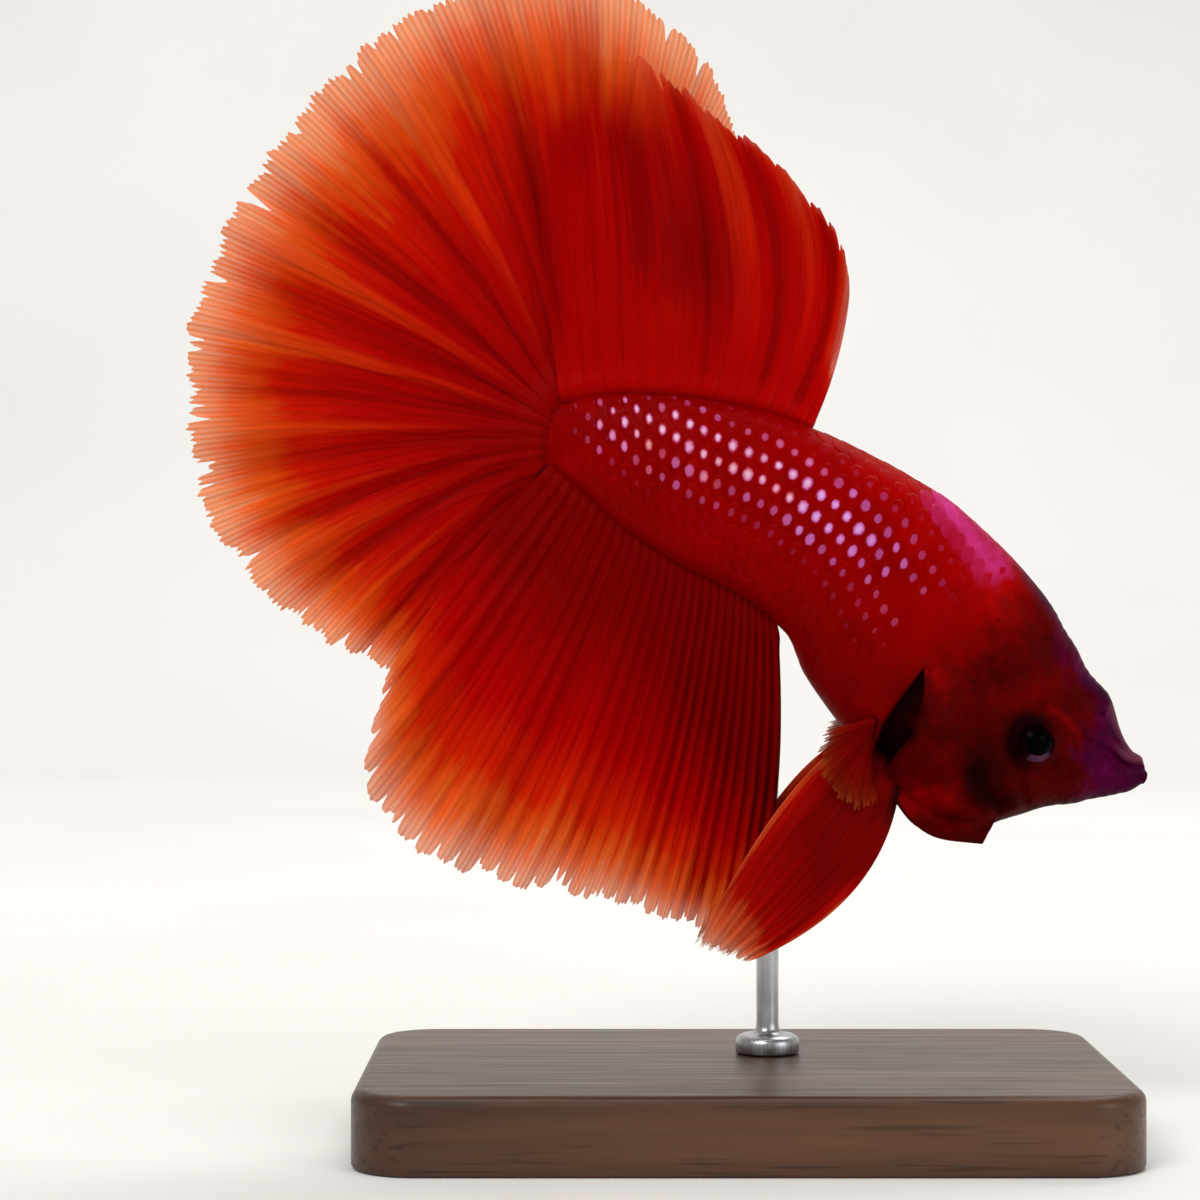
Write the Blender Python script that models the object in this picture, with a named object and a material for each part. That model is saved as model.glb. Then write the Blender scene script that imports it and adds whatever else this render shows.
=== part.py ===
"""A male Siamese fighting fish of the half-moon form, life size, head down with every fin spread, on a plain stand.

The body is one loft of oval sections along a curved line, parted with thin cuts into head, jaw, trunk and tail stem.
Each fin is a pleated fan of rays with the thickness of a real cast. Sizes are in millimetres and turned into metres at the end.
"""
import math

import bmesh
import bpy
import numpy as np
from mathutils import Matrix, Vector

# ---- sizes, in millimetres, in the row frame: x towards the snout's side, z up, y towards the fish's left flank ----
STANDARD_LENGTH = 55.6            # snout to the root of the tail fin, along the back-bone line

# the line of the body: distance from the snout, x, z
SPINE = ((0.0, 32.5, 28.8), (9.5, 23.8, 32.5), (22.2, 14.0, 40.6), (35.2, 4.0, 48.9),
         (47.4, -7.2, 53.8), (55.6, -15.0, 56.4))
# body sections: distance from the snout, height above the line, depth below it, half width
SECTIONS = ((0.0, 0.45, 0.80, 0.55), (1.0, 1.10, 1.75, 1.25), (2.2, 1.95, 2.65, 1.85), (4.0, 3.85, 3.95, 2.60),
            (6.5, 5.40, 5.60, 3.35), (9.5, 6.85, 8.85, 4.25), (13.0, 8.15, 10.65, 5.00), (17.0, 9.20, 10.55, 5.45),
            (21.5, 9.55, 9.85, 5.75), (26.0, 9.50, 8.95, 5.65), (30.0, 8.85, 7.40, 5.30), (35.0, 8.00, 7.10, 4.75),
            (41.0, 7.20, 7.00, 4.00), (47.0, 6.10, 6.05, 3.05), (52.0, 4.70, 3.90, 2.0), (55.6, 3.05, 2.85, 0.85))
TAIL_SWING, HEAD_SWING = 3.0, 1.2  # how far the two ends bend towards +y
BEND_FROM = 20.0

EYE_CENTRE, EYE_RADIUS, EYE_STANDS_OUT = (23.05, 31.6), 1.75, 0.7
HEAD_END, TRUNK_END = 19.0, 41.0
GAP = 0.3


def natural_spline(knots, values):
    """The smooth curve through the knots, with no bend at its two ends."""
    x, y = np.asarray(knots, float), np.asarray(values, float)
    n, h = len(x), np.diff(np.asarray(knots, float))
    a, r = np.eye(n), np.zeros(n)
    for i in range(1, n - 1):
        a[i, i - 1:i + 2] = h[i - 1], 2 * (h[i - 1] + h[i]), h[i]
        r[i] = 6 * ((y[i + 1] - y[i]) / h[i] - (y[i] - y[i - 1]) / h[i - 1])
    m = np.linalg.solve(a, r)

    def at(t, slope=False):
        t = np.asarray(t, float)
        i = np.clip(np.searchsorted(x, t) - 1, 0, n - 2)
        p, q = x[i + 1] - t, t - x[i]
        if slope:
            return (-m[i] * p ** 2 + m[i + 1] * q ** 2) / (2 * h[i]) + (y[i + 1] - y[i]) / h[i] - (m[i + 1] - m[i]) * h[i] / 6
        return ((m[i] * p ** 3 + m[i + 1] * q ** 3) / (6 * h[i]) + (y[i] / h[i] - m[i] * h[i] / 6) * p
                + (y[i + 1] / h[i] - m[i + 1] * h[i] / 6) * q)
    return at


def monotone_spline(knots, values):
    """The curve through the knots that never overshoots them."""
    x, y = np.asarray(knots, float), np.asarray(values, float)
    h = np.diff(x)
    d = np.diff(y) / h
    m = np.r_[d[0], np.where(d[1:] * d[:-1] > 0, 3 * (h[:-1] + h[1:]) / ((2 * h[1:] + h[:-1]) / np.where(d[:-1] == 0, 1, d[:-1])
              + (h[1:] + 2 * h[:-1]) / np.where(d[1:] == 0, 1, d[1:])), 0.0), d[-1]]

    def at(t):
        t = np.clip(np.asarray(t, float), x[0], x[-1])
        i = np.clip(np.searchsorted(x, t) - 1, 0, len(x) - 2)
        w = (t - x[i]) / h[i]
        return (y[i] * (1 + 2 * w) * (1 - w) ** 2 + y[i + 1] * w * w * (3 - 2 * w)
                + h[i] * (m[i] * w * (1 - w) ** 2 + m[i + 1] * w * w * (w - 1)))
    return at


def smooth(t):
    t = np.clip(t, 0.0, 1.0)
    return t * t * (3 - 2 * t)


_S = np.array(SPINE)
_B = np.array(SECTIONS)
line_x, line_z = natural_spline(_S[:, 0], _S[:, 1]), natural_spline(_S[:, 0], _S[:, 2])
height, depth, half_width = (monotone_spline(_B[:, 0], _B[:, k]) for k in (1, 2, 3))


def swing(s):
    s = np.asarray(s, float)
    return np.where(s > BEND_FROM, TAIL_SWING * ((s - BEND_FROM) / (STANDARD_LENGTH - BEND_FROM)) ** 2,
                    HEAD_SWING * ((BEND_FROM - s) / BEND_FROM) ** 2)


def across(s):
    """The unit direction from the body line to the back, in the x-z plane."""
    dx, dz = line_x(s, True), line_z(s, True)
    size = np.hypot(dx, dz)
    return dz / size, -dx / size


def fullness(c):
    return 0.17 + 0.09 * c


def body_point(s, turn, grow=0.0):
    """A point of the body's outside. turn is 0 at the back, a quarter turn on the right flank (-y) and a half at the belly."""
    s, c = np.asarray(s, float), np.cos(turn)
    nx, nz = across(s)
    up = np.where(c > 0, height(s) + grow, depth(s) + grow) * c
    y = -(half_width(s) + grow) * np.sin(turn) * (1 + fullness(c) * c * c)
    return np.stack(np.broadcast_arrays(line_x(s) + nx * up, swing(s) + y, line_z(s) + nz * up), axis=-1)


_FINE = np.linspace(0.0, STANDARD_LENGTH, 1400)
_FX, _FZ = line_x(_FINE), line_z(_FINE)


def station_of(x, z):
    """How far along the body line a point lies, and how far above it."""
    x, z = np.atleast_1d(np.asarray(x, float)), np.atleast_1d(np.asarray(z, float))
    s = np.empty(x.size)
    for a in range(0, x.size, 4000):
        far = (x.ravel()[a:a + 4000, None] - _FX) ** 2 + (z.ravel()[a:a + 4000, None] - _FZ) ** 2
        s[a:a + 4000] = _FINE[far.argmin(1)]
    s = s.reshape(x.shape)
    nx, nz = across(s)
    return s, (x - line_x(s)) * nx + (z - line_z(s)) * nz


def flank(x, z, least=0.0):
    """The body's half width at a point of its side view, or least where that is more."""
    s, up = station_of(x, z)
    c = np.clip(up / np.where(up > 0, height(s), depth(s)), -1.0, 1.0)
    return np.maximum(half_width(s) * np.sqrt(1 - c * c) * (1 + fullness(c) * c * c), least), s


def curve_through(knots):
    """x and z as smooth functions of the share of the way along, from (share, x, z) knots."""
    k = np.array(knots, float)
    fx, fz = natural_spline(k[:, 0], k[:, 1]), natural_spline(k[:, 0], k[:, 2])
    return lambda u: np.stack([fx(u), fz(u)], axis=-1)


def bent(b, c, t, v):
    v = np.asarray(v, float)[..., None]
    return (1 - v) ** 2 * b + 2 * v * (1 - v) * c + v * v * t


# ---- dorsal fin: base along the back, tips and the point each ray bows towards ----
DORSAL_BASE = (37.2, 54.7)
DORSAL_TIPS = curve_through(((0, 9.0, 68.8), (.08, 7.7, 72.6), (.16, 5.0, 76.0), (.24, 1.7, 79.2), (.32, -1.6, 81.5),
                             (.42, -4.5, 83.9), (.55, -7.6, 86.1), (.7, -10.6, 86.6), (1, -15.4, 85.4)))
DORSAL_BOW = curve_through(((0, 8.6, 62.8), (.12, 8.6, 67.5), (.28, 5.2, 70.8), (.42, 1.5, 70.8), (.6, -4.0, 71.6),
                            (.8, -9.8, 72.4), (1, -15.1, 71.4)))


def dorsal(u, v, sink=0.0):
    s = DORSAL_BASE[0] + (DORSAL_BASE[1] - DORSAL_BASE[0]) * u
    nx, nz = across(s)
    up = height(s) + GAP - sink
    p = bent(np.stack([line_x(s) + nx * up, line_z(s) + nz * up], -1), DORSAL_BOW(u), DORSAL_TIPS(u), v)
    rise = v ** 0.6
    y = (swing(s) - 0.3 * smooth((u - 0.8) / 0.2) - 3.0 * smooth((u - 0.05) / 0.65) * (1 - 0.6 * smooth((u - 0.75) / 0.25)) * rise + 0.75 * v ** 1.2 * np.sin(2 * np.pi * 5.2 * u ** 0.85 + 1.4 * v)
         * (1 - 0.55 * smooth((u - 0.5) / 0.4)))
    return p, y


# ---- anal fin ----
ANAL_BASE = (31.4, 54.9)
ANAL_TIPS = curve_through(((0, 1.0, 17.8), (.08, -0.9, 16.5), (.16, -3.2, 16.2), (.3, -7.4, 17.2), (.45, -12.4, 18.4),
                           (.6, -18.3, 19.6), (.72, -23.6, 21.2), (.8, -27.1, 23.2), (.87, -29.7, 26.6), (.93, -30.2, 30.8), (1, -28.6, 36.9)))
ANAL_BOW = curve_through(((0, 4.2, 26.6), (.25, -2.0, 29.7), (.5, -7.8, 32.4), (.75, -16.0, 35.6), (.9, -20.1, 40.6), (1, -21.8, 46.8)))


def anal(u, v, sink=0.0):
    s = ANAL_BASE[0] + (ANAL_BASE[1] - ANAL_BASE[0]) * u
    nx, nz = across(s)
    up = -(depth(s) + GAP - sink)
    p = bent(np.stack([line_x(s) + nx * up, line_z(s) + nz * up], -1), ANAL_BOW(u), ANAL_TIPS(u), v)
    y = (swing(s) - 0.3 * smooth((u - 0.8) / 0.2) - 2.6 * smooth((u - 0.35) / 0.6) * v ** 0.6
         + (0.35 + 0.55 * u) * v ** 1.2 * np.sin(2 * np.pi * 6.0 * u + 1.1 * v + 0.6))
    return p, y


# ---- tail fin: a half-moon fan about the end of the tail stem ----
CAUDAL_HUB = (-15.4, 58.2)
# its folds: angle at the edge, height towards the right flank (less than nothing is a crease), and width in degrees
CAUDAL_FOLDS = ((72, .5, 4.5), (85, -.6, 4), (92, .3, 2.5), (100, -.8, 3), (108, -.4, 2.5), (117, .95, 3.2), (126, -.5, 3), (133, .35, 2.6),
                (141, -.7, 2.8), (149.5, 1.0, 2.6), (157, -.8, 2.4), (165.4, .9, 2.2), (173.5, -.6, 3), (183.3, .8, 2.6), (191, -.5, 2.8),
                (199, .5, 2.4), (205, -.6, 2.2), (211, .9, 2.6), (218.5, -.7, 2.4), (225.7, .8, 2.4), (232, -.5, 2.2))
CAUDAL_SWEEP = monotone_spline((50, 75, 95, 150, 185, 216, 236, 247), (-4, 3, 8, 8, 12, 22, 10, -2))   # how far each ray turns on its way out
CAUDAL_ANGLES = (50.0, 247.0)       # first and last ray, degrees from +x
CAUDAL_REACH = monotone_spline((50, 57, 66, 73, 79, 92, 104, 115, 132, 160, 185, 205, 222, 238, 247),
                               (26.0, 28.3, 31.6, 32.9, 34.8, 36.2, 35.0, 33.4, 31.2, 29.8, 29.2, 28.1, 26.4, 25.0, 22.5))
TAIL_AXIS = (-0.985, 0.17)


def caudal(u, v, sink=0.0):
    u = np.asarray(u, float)
    angle = CAUDAL_ANGLES[0] + (CAUDAL_ANGLES[1] - CAUDAL_ANGLES[0]) * u
    way = np.stack([np.cos(np.radians(angle)), np.sin(np.radians(angle))], -1)
    reach = CAUDAL_REACH(angle)[..., None]
    end = STANDARD_LENGTH
    nx, nz = across(end)
    up = height(end) - 0.15 - (height(end) + depth(end) - 0.3) * u ** 1.5
    out = GAP + 0.35 * np.sin(np.pi * u) - sink
    base = np.stack([line_x(end) + nx * up + TAIL_AXIS[0] * out, line_z(end) + nz * up + TAIL_AXIS[1] * out], -1)
    start = np.radians(angle - CAUDAL_SWEEP(angle))
    bow = base + np.stack([np.cos(start), np.sin(start)], -1) * reach * 0.45
    p = bent(base, bow, np.array(CAUDAL_HUB) + way * reach, v)
    top, low = 1 - smooth(u / 0.62), smooth((u - 0.70) / 0.28)
    return p, TAIL_SWING + 0.3 * smooth((abs(2 * u - 1) - 0.7) / 0.3) + (2.3 * top + 1.2 * low) * v ** 0.6 - 1.15 * v ** 1.2 * caudal_fold(u)


def caudal_fold(u):
    """From -1 in a crease to 1 on a crest."""
    angle = CAUDAL_ANGLES[0] + (CAUDAL_ANGLES[1] - CAUDAL_ANGLES[0]) * u
    return sum(high * np.exp(-((angle - at) / wide) ** 2) for at, high, wide in CAUDAL_FOLDS)


# ---- pelvic and pectoral fins; side is -1 for the right one and +1 for the left one ----
PELVIC_FRONT = ((12.4, 28.6), (11.7, 18.6), (0.3, 14.1))
PELVIC_REAR = ((9.4, 31.4), (3.6, 30.2), (-3.6, 15.3))


def pelvic(u, v, side, sink=0.0):
    u, v = np.asarray(u, float), np.asarray(v, float)
    ends = [np.array(PELVIC_FRONT[k]) * (1 - u[..., None]) + np.array(PELVIC_REAR[k]) * u[..., None] for k in range(3)]
    ends[1] = ends[1] + 0.8 * np.sin(np.pi * u)[..., None] * np.array((0.3, -0.4))
    slip = (0.0 if side < 0 else 1.3) * v[..., None] * (1 - u[..., None])
    p = bent(*ends, v) + slip * np.array((-1.0, 0.3)) + sink * np.array((0.35, 0.9)) * (1 - v[..., None])
    belly = np.sin(np.pi * np.clip(v, 0, 1)) ** 0.8 * (0.6 + 0.4 * u)
    spread = 2.0 + 1.9 * belly + 0.9 * v if side < 0 else 2.0 + 0.5 * belly
    y = side * (spread - 0.25 * sink * (1 - v) + 0.2 * v * np.sin(2 * np.pi * 1.6 * u + 0.8))
    return p, y


PECTORAL_ROOT = ((10.6, 33.6), (10.2, 31.6))
PECTORAL_HUB, PECTORAL_ANGLES = (10.9, 32.6), (180.0, 270.0)
PECTORAL_REACH = monotone_spline((180, 200, 225, 250, 270), (4.7, 5.6, 6.5, 6.9, 6.4))


def pectoral(u, v, side, sink=0.0):
    u, v = np.asarray(u, float), np.asarray(v, float)
    angle = PECTORAL_ANGLES[0] + (PECTORAL_ANGLES[1] - PECTORAL_ANGLES[0]) * u
    way = np.stack([np.cos(np.radians(angle)), np.sin(np.radians(angle))], -1)
    base = np.array(PECTORAL_ROOT[0]) * (1 - u[..., None]) + np.array(PECTORAL_ROOT[1]) * u[..., None]
    tip = np.array(PECTORAL_HUB) + way * PECTORAL_REACH(angle)[..., None]
    p = bent(base, base * 0.55 + tip * 0.45 + np.array((-0.3, -0.1)), tip, v)
    wide, s = flank(base[..., 0], base[..., 1])
    out = wide + GAP + 0.35 - sink
    y = side * (out + 2.9 * v ** 0.9 - 0.9 * v * v + 0.28 * v * np.sin(2 * np.pi * 3.0 * u)) + swing(s)
    return p, y


# ---- gill covers: a curved plate from a hinge line to its free rear edge ----
GILL_HINGE = curve_through(((0, 17.6, 38.4), (.5, 18.8, 31.9), (1, 20.9, 26.2)))
GILL_EDGE = curve_through(((0, 14.2, 37.4), (.18, 14.0, 34.9), (.31, 13.5, 32.7), (.42, 12.4, 31.2), (.52, 11.6, 29.7), (.63, 11.6, 28.0),
                           (.76, 12.9, 26.0), (.88, 15.6, 23.9), (1, 19.3, 23.3)))
GILL_RAISE, GILL_FLARE = 0.35, 0.75


def gill_cover(u, v):
    p = GILL_HINGE(u) * (1 - v[..., None]) + GILL_EDGE(u) * v[..., None]
    wide, s = flank(p[..., 0], p[..., 1], 1.1)
    return p, wide, swing(s)


# ---- the stand ----
BASE_LENGTH, BASE_WIDTH, BASE_HEIGHT, BASE_CORNER, BASE_EDGE = 60.0, 38.0, 6.0, 5.0, 0.9
ROD_RADIUS, ROD_FOOT, ROD_AT, ROD_TOP = 0.9, (2.6, 1.3), (2.4, 3.9), 48.0
FIN_ROOT = 0.8                    # how far a fin's root runs under the skin before it is cut to the body
FIN_THICKNESS = 0.6

for old in list(bpy.data.objects):
    bpy.data.objects.remove(old)


def material(name, colour, roughness, metallic=0.0):
    m = bpy.data.materials.new(name)
    m.use_nodes = True
    shader = m.node_tree.nodes["Principled BSDF"]
    shader.inputs["Base Color"].default_value = (*colour, 1.0)
    shader.inputs["Roughness"].default_value = roughness
    shader.inputs["Metallic"].default_value = metallic
    return m


SKIN = material("red_skin", (0.42, 0.008, 0.006), 0.35)
SNOUT = material("purple_snout", (0.10, 0.012, 0.05), 0.35)
FIN = material("red_fin", (0.55, 0.02, 0.01), 0.45)
CLEAR_FIN = material("pale_fin", (0.75, 0.22, 0.12), 0.4)
EYE = material("dark_eye", (0.01, 0.005, 0.01), 0.08)
WOOD = material("dark_wood", (0.07, 0.035, 0.02), 0.4)
STEEL = material("brushed_steel", (0.6, 0.6, 0.6), 0.3, 1.0)


def thing(name, points, faces, mat, scale=0.001):
    """An object from points in millimetres, faces turned outwards."""
    mesh = bpy.data.meshes.new(name)
    mesh.from_pydata([tuple(float(c) * scale for c in p) for p in points], [], [tuple(int(i) for i in f) for f in faces])
    work = bmesh.new()
    work.from_mesh(mesh)
    bmesh.ops.recalc_face_normals(work, faces=work.faces)
    work.to_mesh(mesh)
    work.free()
    mesh.materials.append(mat)
    mesh.shade_smooth()
    made = bpy.data.objects.new(name, mesh)
    bpy.context.scene.collection.objects.link(made)
    return made


def loft(name, stations, mat, around=24, grow=0.0):
    """The body between its first and last station, closed at both ends."""
    turn = np.arange(around) / around * 2 * math.pi
    rings = [body_point(np.full(around, s), turn, grow) for s in stations]
    points = np.concatenate(rings)
    faces = []
    for r in range(len(stations) - 1):
        for k in range(around):
            j = (k + 1) % around
            faces.append((r * around + k, r * around + j, (r + 1) * around + j, (r + 1) * around + k))
    last = (len(stations) - 1) * around
    faces.append(tuple(range(around))[::-1])
    faces.append(tuple(last + k for k in range(around)))
    return thing(name, points, faces, mat)


def sheet(name, shape, columns, rows, mat, thickness=FIN_THICKNESS, notch=0.0, every=2, cut=True):
    """A fin: a grid of its shape function, notched along its edge, with a Solidify modifier for its thickness."""
    u = np.linspace(0, 1, columns)[None, :].repeat(rows, 0)
    v = np.linspace(0, 1, rows)[:, None].repeat(columns, 1) ** 0.85
    teeth = 1 - notch * ((np.arange(columns) % every) / max(every - 1, 1))[None, :]
    v = v * (1 - (1 - teeth) * smooth((v - 0.6) / 0.4))
    p, y = shape(u, v)
    points = np.stack([p[..., 0], y, p[..., 1]], -1).reshape(-1, 3)
    faces = [(r * columns + k, r * columns + k + 1, (r + 1) * columns + k + 1, (r + 1) * columns + k)
             for r in range(rows - 1) for k in range(columns - 1)]
    made = thing(name, points, faces, mat)
    thick = made.modifiers.new("thickness", "SOLIDIFY")
    thick.thickness = thickness * 0.001
    thick.offset = 0.0
    return boolean(made, body_clearance, "DIFFERENCE") if cut else made


def prism(name, corners, low, high):
    """A cutter: a side-view outline carried from y low to y high."""
    n = len(corners)
    points = [(x, y, z) for y in (low, high) for x, z in corners]
    faces = [tuple(range(n)), tuple(range(n, 2 * n))] + [(k, (k + 1) % n, n + (k + 1) % n, n + k) for k in range(n)]
    return hidden(thing(name, points, faces, SKIN))


def ball(name, centre, radius, mat, rings=10, around=14):
    work = bmesh.new()
    bmesh.ops.create_uvsphere(work, u_segments=around, v_segments=rings, radius=radius * 0.001)
    bmesh.ops.rotate(work, verts=work.verts, cent=(0, 0, 0), matrix=Matrix.Rotation(math.pi / 2, 3, "X"))
    mesh = bpy.data.meshes.new(name)
    work.to_mesh(mesh)
    work.free()
    mesh.materials.append(mat)
    mesh.shade_smooth()
    made = bpy.data.objects.new(name, mesh)
    made.location = Vector(centre) * 0.001
    bpy.context.scene.collection.objects.link(made)
    return made


def hidden(obj):
    obj.hide_render = True
    obj.display_type = "WIRE"
    return obj


def boolean(obj, cutter, operation):
    m = obj.modifiers.new(cutter.name, "BOOLEAN")
    m.operation = operation
    m.object = cutter
    m.solver = "EXACT"
    return obj


# ---- head, jaw, trunk and tail stem ----
head_stations = (0.0, 0.45, 1.0, 1.7, 2.6, 3.7, 5.0, 6.4, 7.9, 9.5, 11.1, 12.8, 14.6, 16.6, HEAD_END - GAP / 2)
head = loft("head", head_stations, SKIN)
jaw = loft("lower_jaw", head_stations[:9], SNOUT)
MOUTH_CORNER, JAW_HINGE = (29.0, 31.05), (27.2, 25.6)
boolean(jaw, prism("jaw_region", ((34.0, 29.1), MOUTH_CORNER, JAW_HINGE, (34.0, 24.5)), -8, 8), "INTERSECT")
boolean(head, prism("jaw_clearance", ((34.2, 29.45), (MOUTH_CORNER[0] - 0.25, MOUTH_CORNER[1] + 0.32), (JAW_HINGE[0] - 0.3, JAW_HINGE[1] - 1.0), (34.2, 22.5)), -9, 9), "DIFFERENCE")

eye_wide, eye_s = flank(*EYE_CENTRE)
for side, name in ((-1, "right"), (1, "left")):
    y = float(swing(eye_s)[0] + side * (eye_wide[0] + EYE_STANDS_OUT - EYE_RADIUS))
    centre = (EYE_CENTRE[0], y, EYE_CENTRE[1])
    ball(name + "_eye", centre, EYE_RADIUS, EYE)
    boolean(head, hidden(ball(name + "_eye_socket", centre, EYE_RADIUS + GAP, SKIN)), "DIFFERENCE")

trunk = loft("trunk", np.linspace(HEAD_END + GAP / 2, TRUNK_END - GAP / 2, 11), SKIN)
loft("tail_stem", np.linspace(TRUNK_END + GAP / 2, STANDARD_LENGTH, 9), SKIN)

work = bmesh.new()
bmesh.ops.create_cone(work, segments=24, radius1=(ROD_RADIUS + GAP) * 0.001, radius2=(ROD_RADIUS + GAP) * 0.001, depth=0.020, cap_ends=True)
mesh = bpy.data.meshes.new("rod_socket")
work.to_mesh(mesh)
work.free()
socket = bpy.data.objects.new("rod_socket", mesh)
socket.location = (ROD_AT[0] * 0.001, ROD_AT[1] * 0.001, (ROD_TOP + GAP - 10.0) * 0.001)
bpy.context.scene.collection.objects.link(socket)
boolean(trunk, hidden(socket), "DIFFERENCE")

# ---- gill covers ----
for side, name in ((-1, "right"), (1, "left")):
    columns, rows = 11, 8
    u = np.linspace(0, 1, rows)[:, None].repeat(columns, 1)
    v = np.linspace(0, 1, columns)[None, :].repeat(rows, 0)
    p, wide, mid = gill_cover(u, v)
    lift = GAP + 0.12 + GILL_RAISE * smooth(v * 3) + GILL_FLARE * v ** 3
    points = []
    for more in (0.0, 0.55):
        y = mid + side * (wide + lift + more - 0.25 * smooth(1 - v * 4))
        points.append(np.stack([p[..., 0], y, p[..., 1]], -1).reshape(-1, 3))
    n = rows * columns
    faces = []
    for r in range(rows - 1):
        for k in range(columns - 1):
            a, b, c, d = r * columns + k, r * columns + k + 1, (r + 1) * columns + k + 1, (r + 1) * columns + k
            faces += [(a, b, c, d), (n + a, n + d, n + c, n + b)]
    rim = ([k for k in range(columns)] + [r * columns + columns - 1 for r in range(1, rows)]
           + [(rows - 1) * columns + k for k in range(columns - 2, -1, -1)] + [r * columns for r in range(rows - 2, 0, -1)])
    faces += [(rim[i], rim[(i + 1) % len(rim)], n + rim[(i + 1) % len(rim)], n + rim[i]) for i in range(len(rim))]
    thing(name + "_gill_cover", np.concatenate(points), faces, SKIN)

# ---- fins, each cut at its root to the body it stands on ----
body_clearance = hidden(loft("body_clearance", np.linspace(0.5, STANDARD_LENGTH + GAP, 24), SKIN, grow=GAP))
sheet("dorsal_fin", lambda u, v: dorsal(u, v, FIN_ROOT), 38, 7, FIN, notch=0.035)
sheet("anal_fin", lambda u, v: anal(u, v, FIN_ROOT), 46, 7, FIN, notch=0.04)
sheet("tail_fin", caudal, 68, 7, FIN, notch=0.05, cut=False)
for side, name in ((-1, "right"), (1, "left")):
    sheet(name + "_pelvic_fin", lambda u, v: pelvic(u, v, side, FIN_ROOT), 8, 9, FIN)
    sheet(name + "_pectoral_fin", lambda u, v: pectoral(u, v, side, FIN_ROOT), 13, 6, CLEAR_FIN, notch=0.06, thickness=0.55)

# ---- stand: a plinth with rounded corners and a rod with a turned foot ----
outline = []
for corner in range(4):
    cx = (BASE_LENGTH / 2 - BASE_CORNER) * (1, -1, -1, 1)[corner]
    cy = (BASE_WIDTH / 2 - BASE_CORNER) * (1, 1, -1, -1)[corner]
    for step in range(8):
        turn = (corner + step / 7) * math.pi / 2
        outline.append((cx + BASE_CORNER * math.cos(turn), cy + BASE_CORNER * math.sin(turn)))
n = len(outline)
base = thing("stand_base", [(x, y, z) for z in (0.0, BASE_HEIGHT) for x, y in outline],
             [tuple(range(n))[::-1], tuple(range(n, 2 * n))] + [(k, (k + 1) % n, n + (k + 1) % n, n + k) for k in range(n)], WOOD)
base.data.set_sharp_from_angle(angle=math.radians(40))
edge = base.modifiers.new("edge", "BEVEL")
edge.width = BASE_EDGE * 0.001
edge.segments = 2
edge.limit_method = "ANGLE"
edge.angle_limit = math.radians(50)

profile = ((0.0, BASE_HEIGHT + GAP), (ROD_FOOT[0], BASE_HEIGHT + GAP), (ROD_FOOT[0], BASE_HEIGHT + GAP + ROD_FOOT[1] * 0.55),
           (ROD_FOOT[0] - 0.6, BASE_HEIGHT + GAP + ROD_FOOT[1]), (ROD_RADIUS, BASE_HEIGHT + GAP + ROD_FOOT[1]), (ROD_RADIUS, ROD_TOP), (0.0, ROD_TOP))
around = 20
points, faces = [(0.0, 0.0, profile[0][1])], []
for radius, z in profile[1:-1]:
    points += [(radius * math.cos(k / around * 2 * math.pi), radius * math.sin(k / around * 2 * math.pi), z) for k in range(around)]
points.append((0.0, 0.0, profile[-1][1]))
rings = len(profile) - 2
for k in range(around):
    j = (k + 1) % around
    faces.append((0, 1 + j, 1 + k))
    faces += [(1 + r * around + k, 1 + r * around + j, 1 + (r + 1) * around + j, 1 + (r + 1) * around + k) for r in range(rings - 1)]
    faces.append((1 + (rings - 1) * around + k, 1 + (rings - 1) * around + j, len(points) - 1))
rod = thing("stand_rod", [(x + ROD_AT[0], y + ROD_AT[1], z) for x, y, z in points], faces, STEEL)
rod.data.set_sharp_from_angle(angle=math.radians(35))
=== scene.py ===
"""The looks of the Siamese fighting fish on its stand: one skin, scales, fins of branching rays, eyes, and the stand's finish.

Lengths are in millimetres, and turned into metres where a mesh is made. The body and fin functions repeat those of the solids.
"""
import math

import bpy
import numpy as np
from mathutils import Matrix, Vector


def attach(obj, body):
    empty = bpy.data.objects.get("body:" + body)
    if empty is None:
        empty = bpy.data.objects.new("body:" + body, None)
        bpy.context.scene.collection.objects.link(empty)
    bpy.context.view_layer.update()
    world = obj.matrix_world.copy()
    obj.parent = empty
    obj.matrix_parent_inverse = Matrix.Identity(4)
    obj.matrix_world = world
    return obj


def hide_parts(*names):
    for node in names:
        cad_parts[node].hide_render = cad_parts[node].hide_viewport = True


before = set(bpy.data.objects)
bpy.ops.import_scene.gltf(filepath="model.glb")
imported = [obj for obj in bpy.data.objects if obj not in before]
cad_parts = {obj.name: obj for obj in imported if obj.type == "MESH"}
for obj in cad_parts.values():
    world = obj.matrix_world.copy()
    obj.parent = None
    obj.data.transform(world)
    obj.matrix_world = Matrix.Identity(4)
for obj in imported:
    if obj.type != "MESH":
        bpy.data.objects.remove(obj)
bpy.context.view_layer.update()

# ---- sizes, in millimetres, in the row frame: x towards the snout's side, z up, y towards the fish's left flank ----
STANDARD_LENGTH = 55.6            # snout to the root of the tail fin, along the back-bone line

# the line of the body: distance from the snout, x, z
SPINE = ((0.0, 32.5, 28.8), (9.5, 23.8, 32.5), (22.2, 14.0, 40.6), (35.2, 4.0, 48.9),
         (47.4, -7.2, 53.8), (55.6, -15.0, 56.4))
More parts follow.
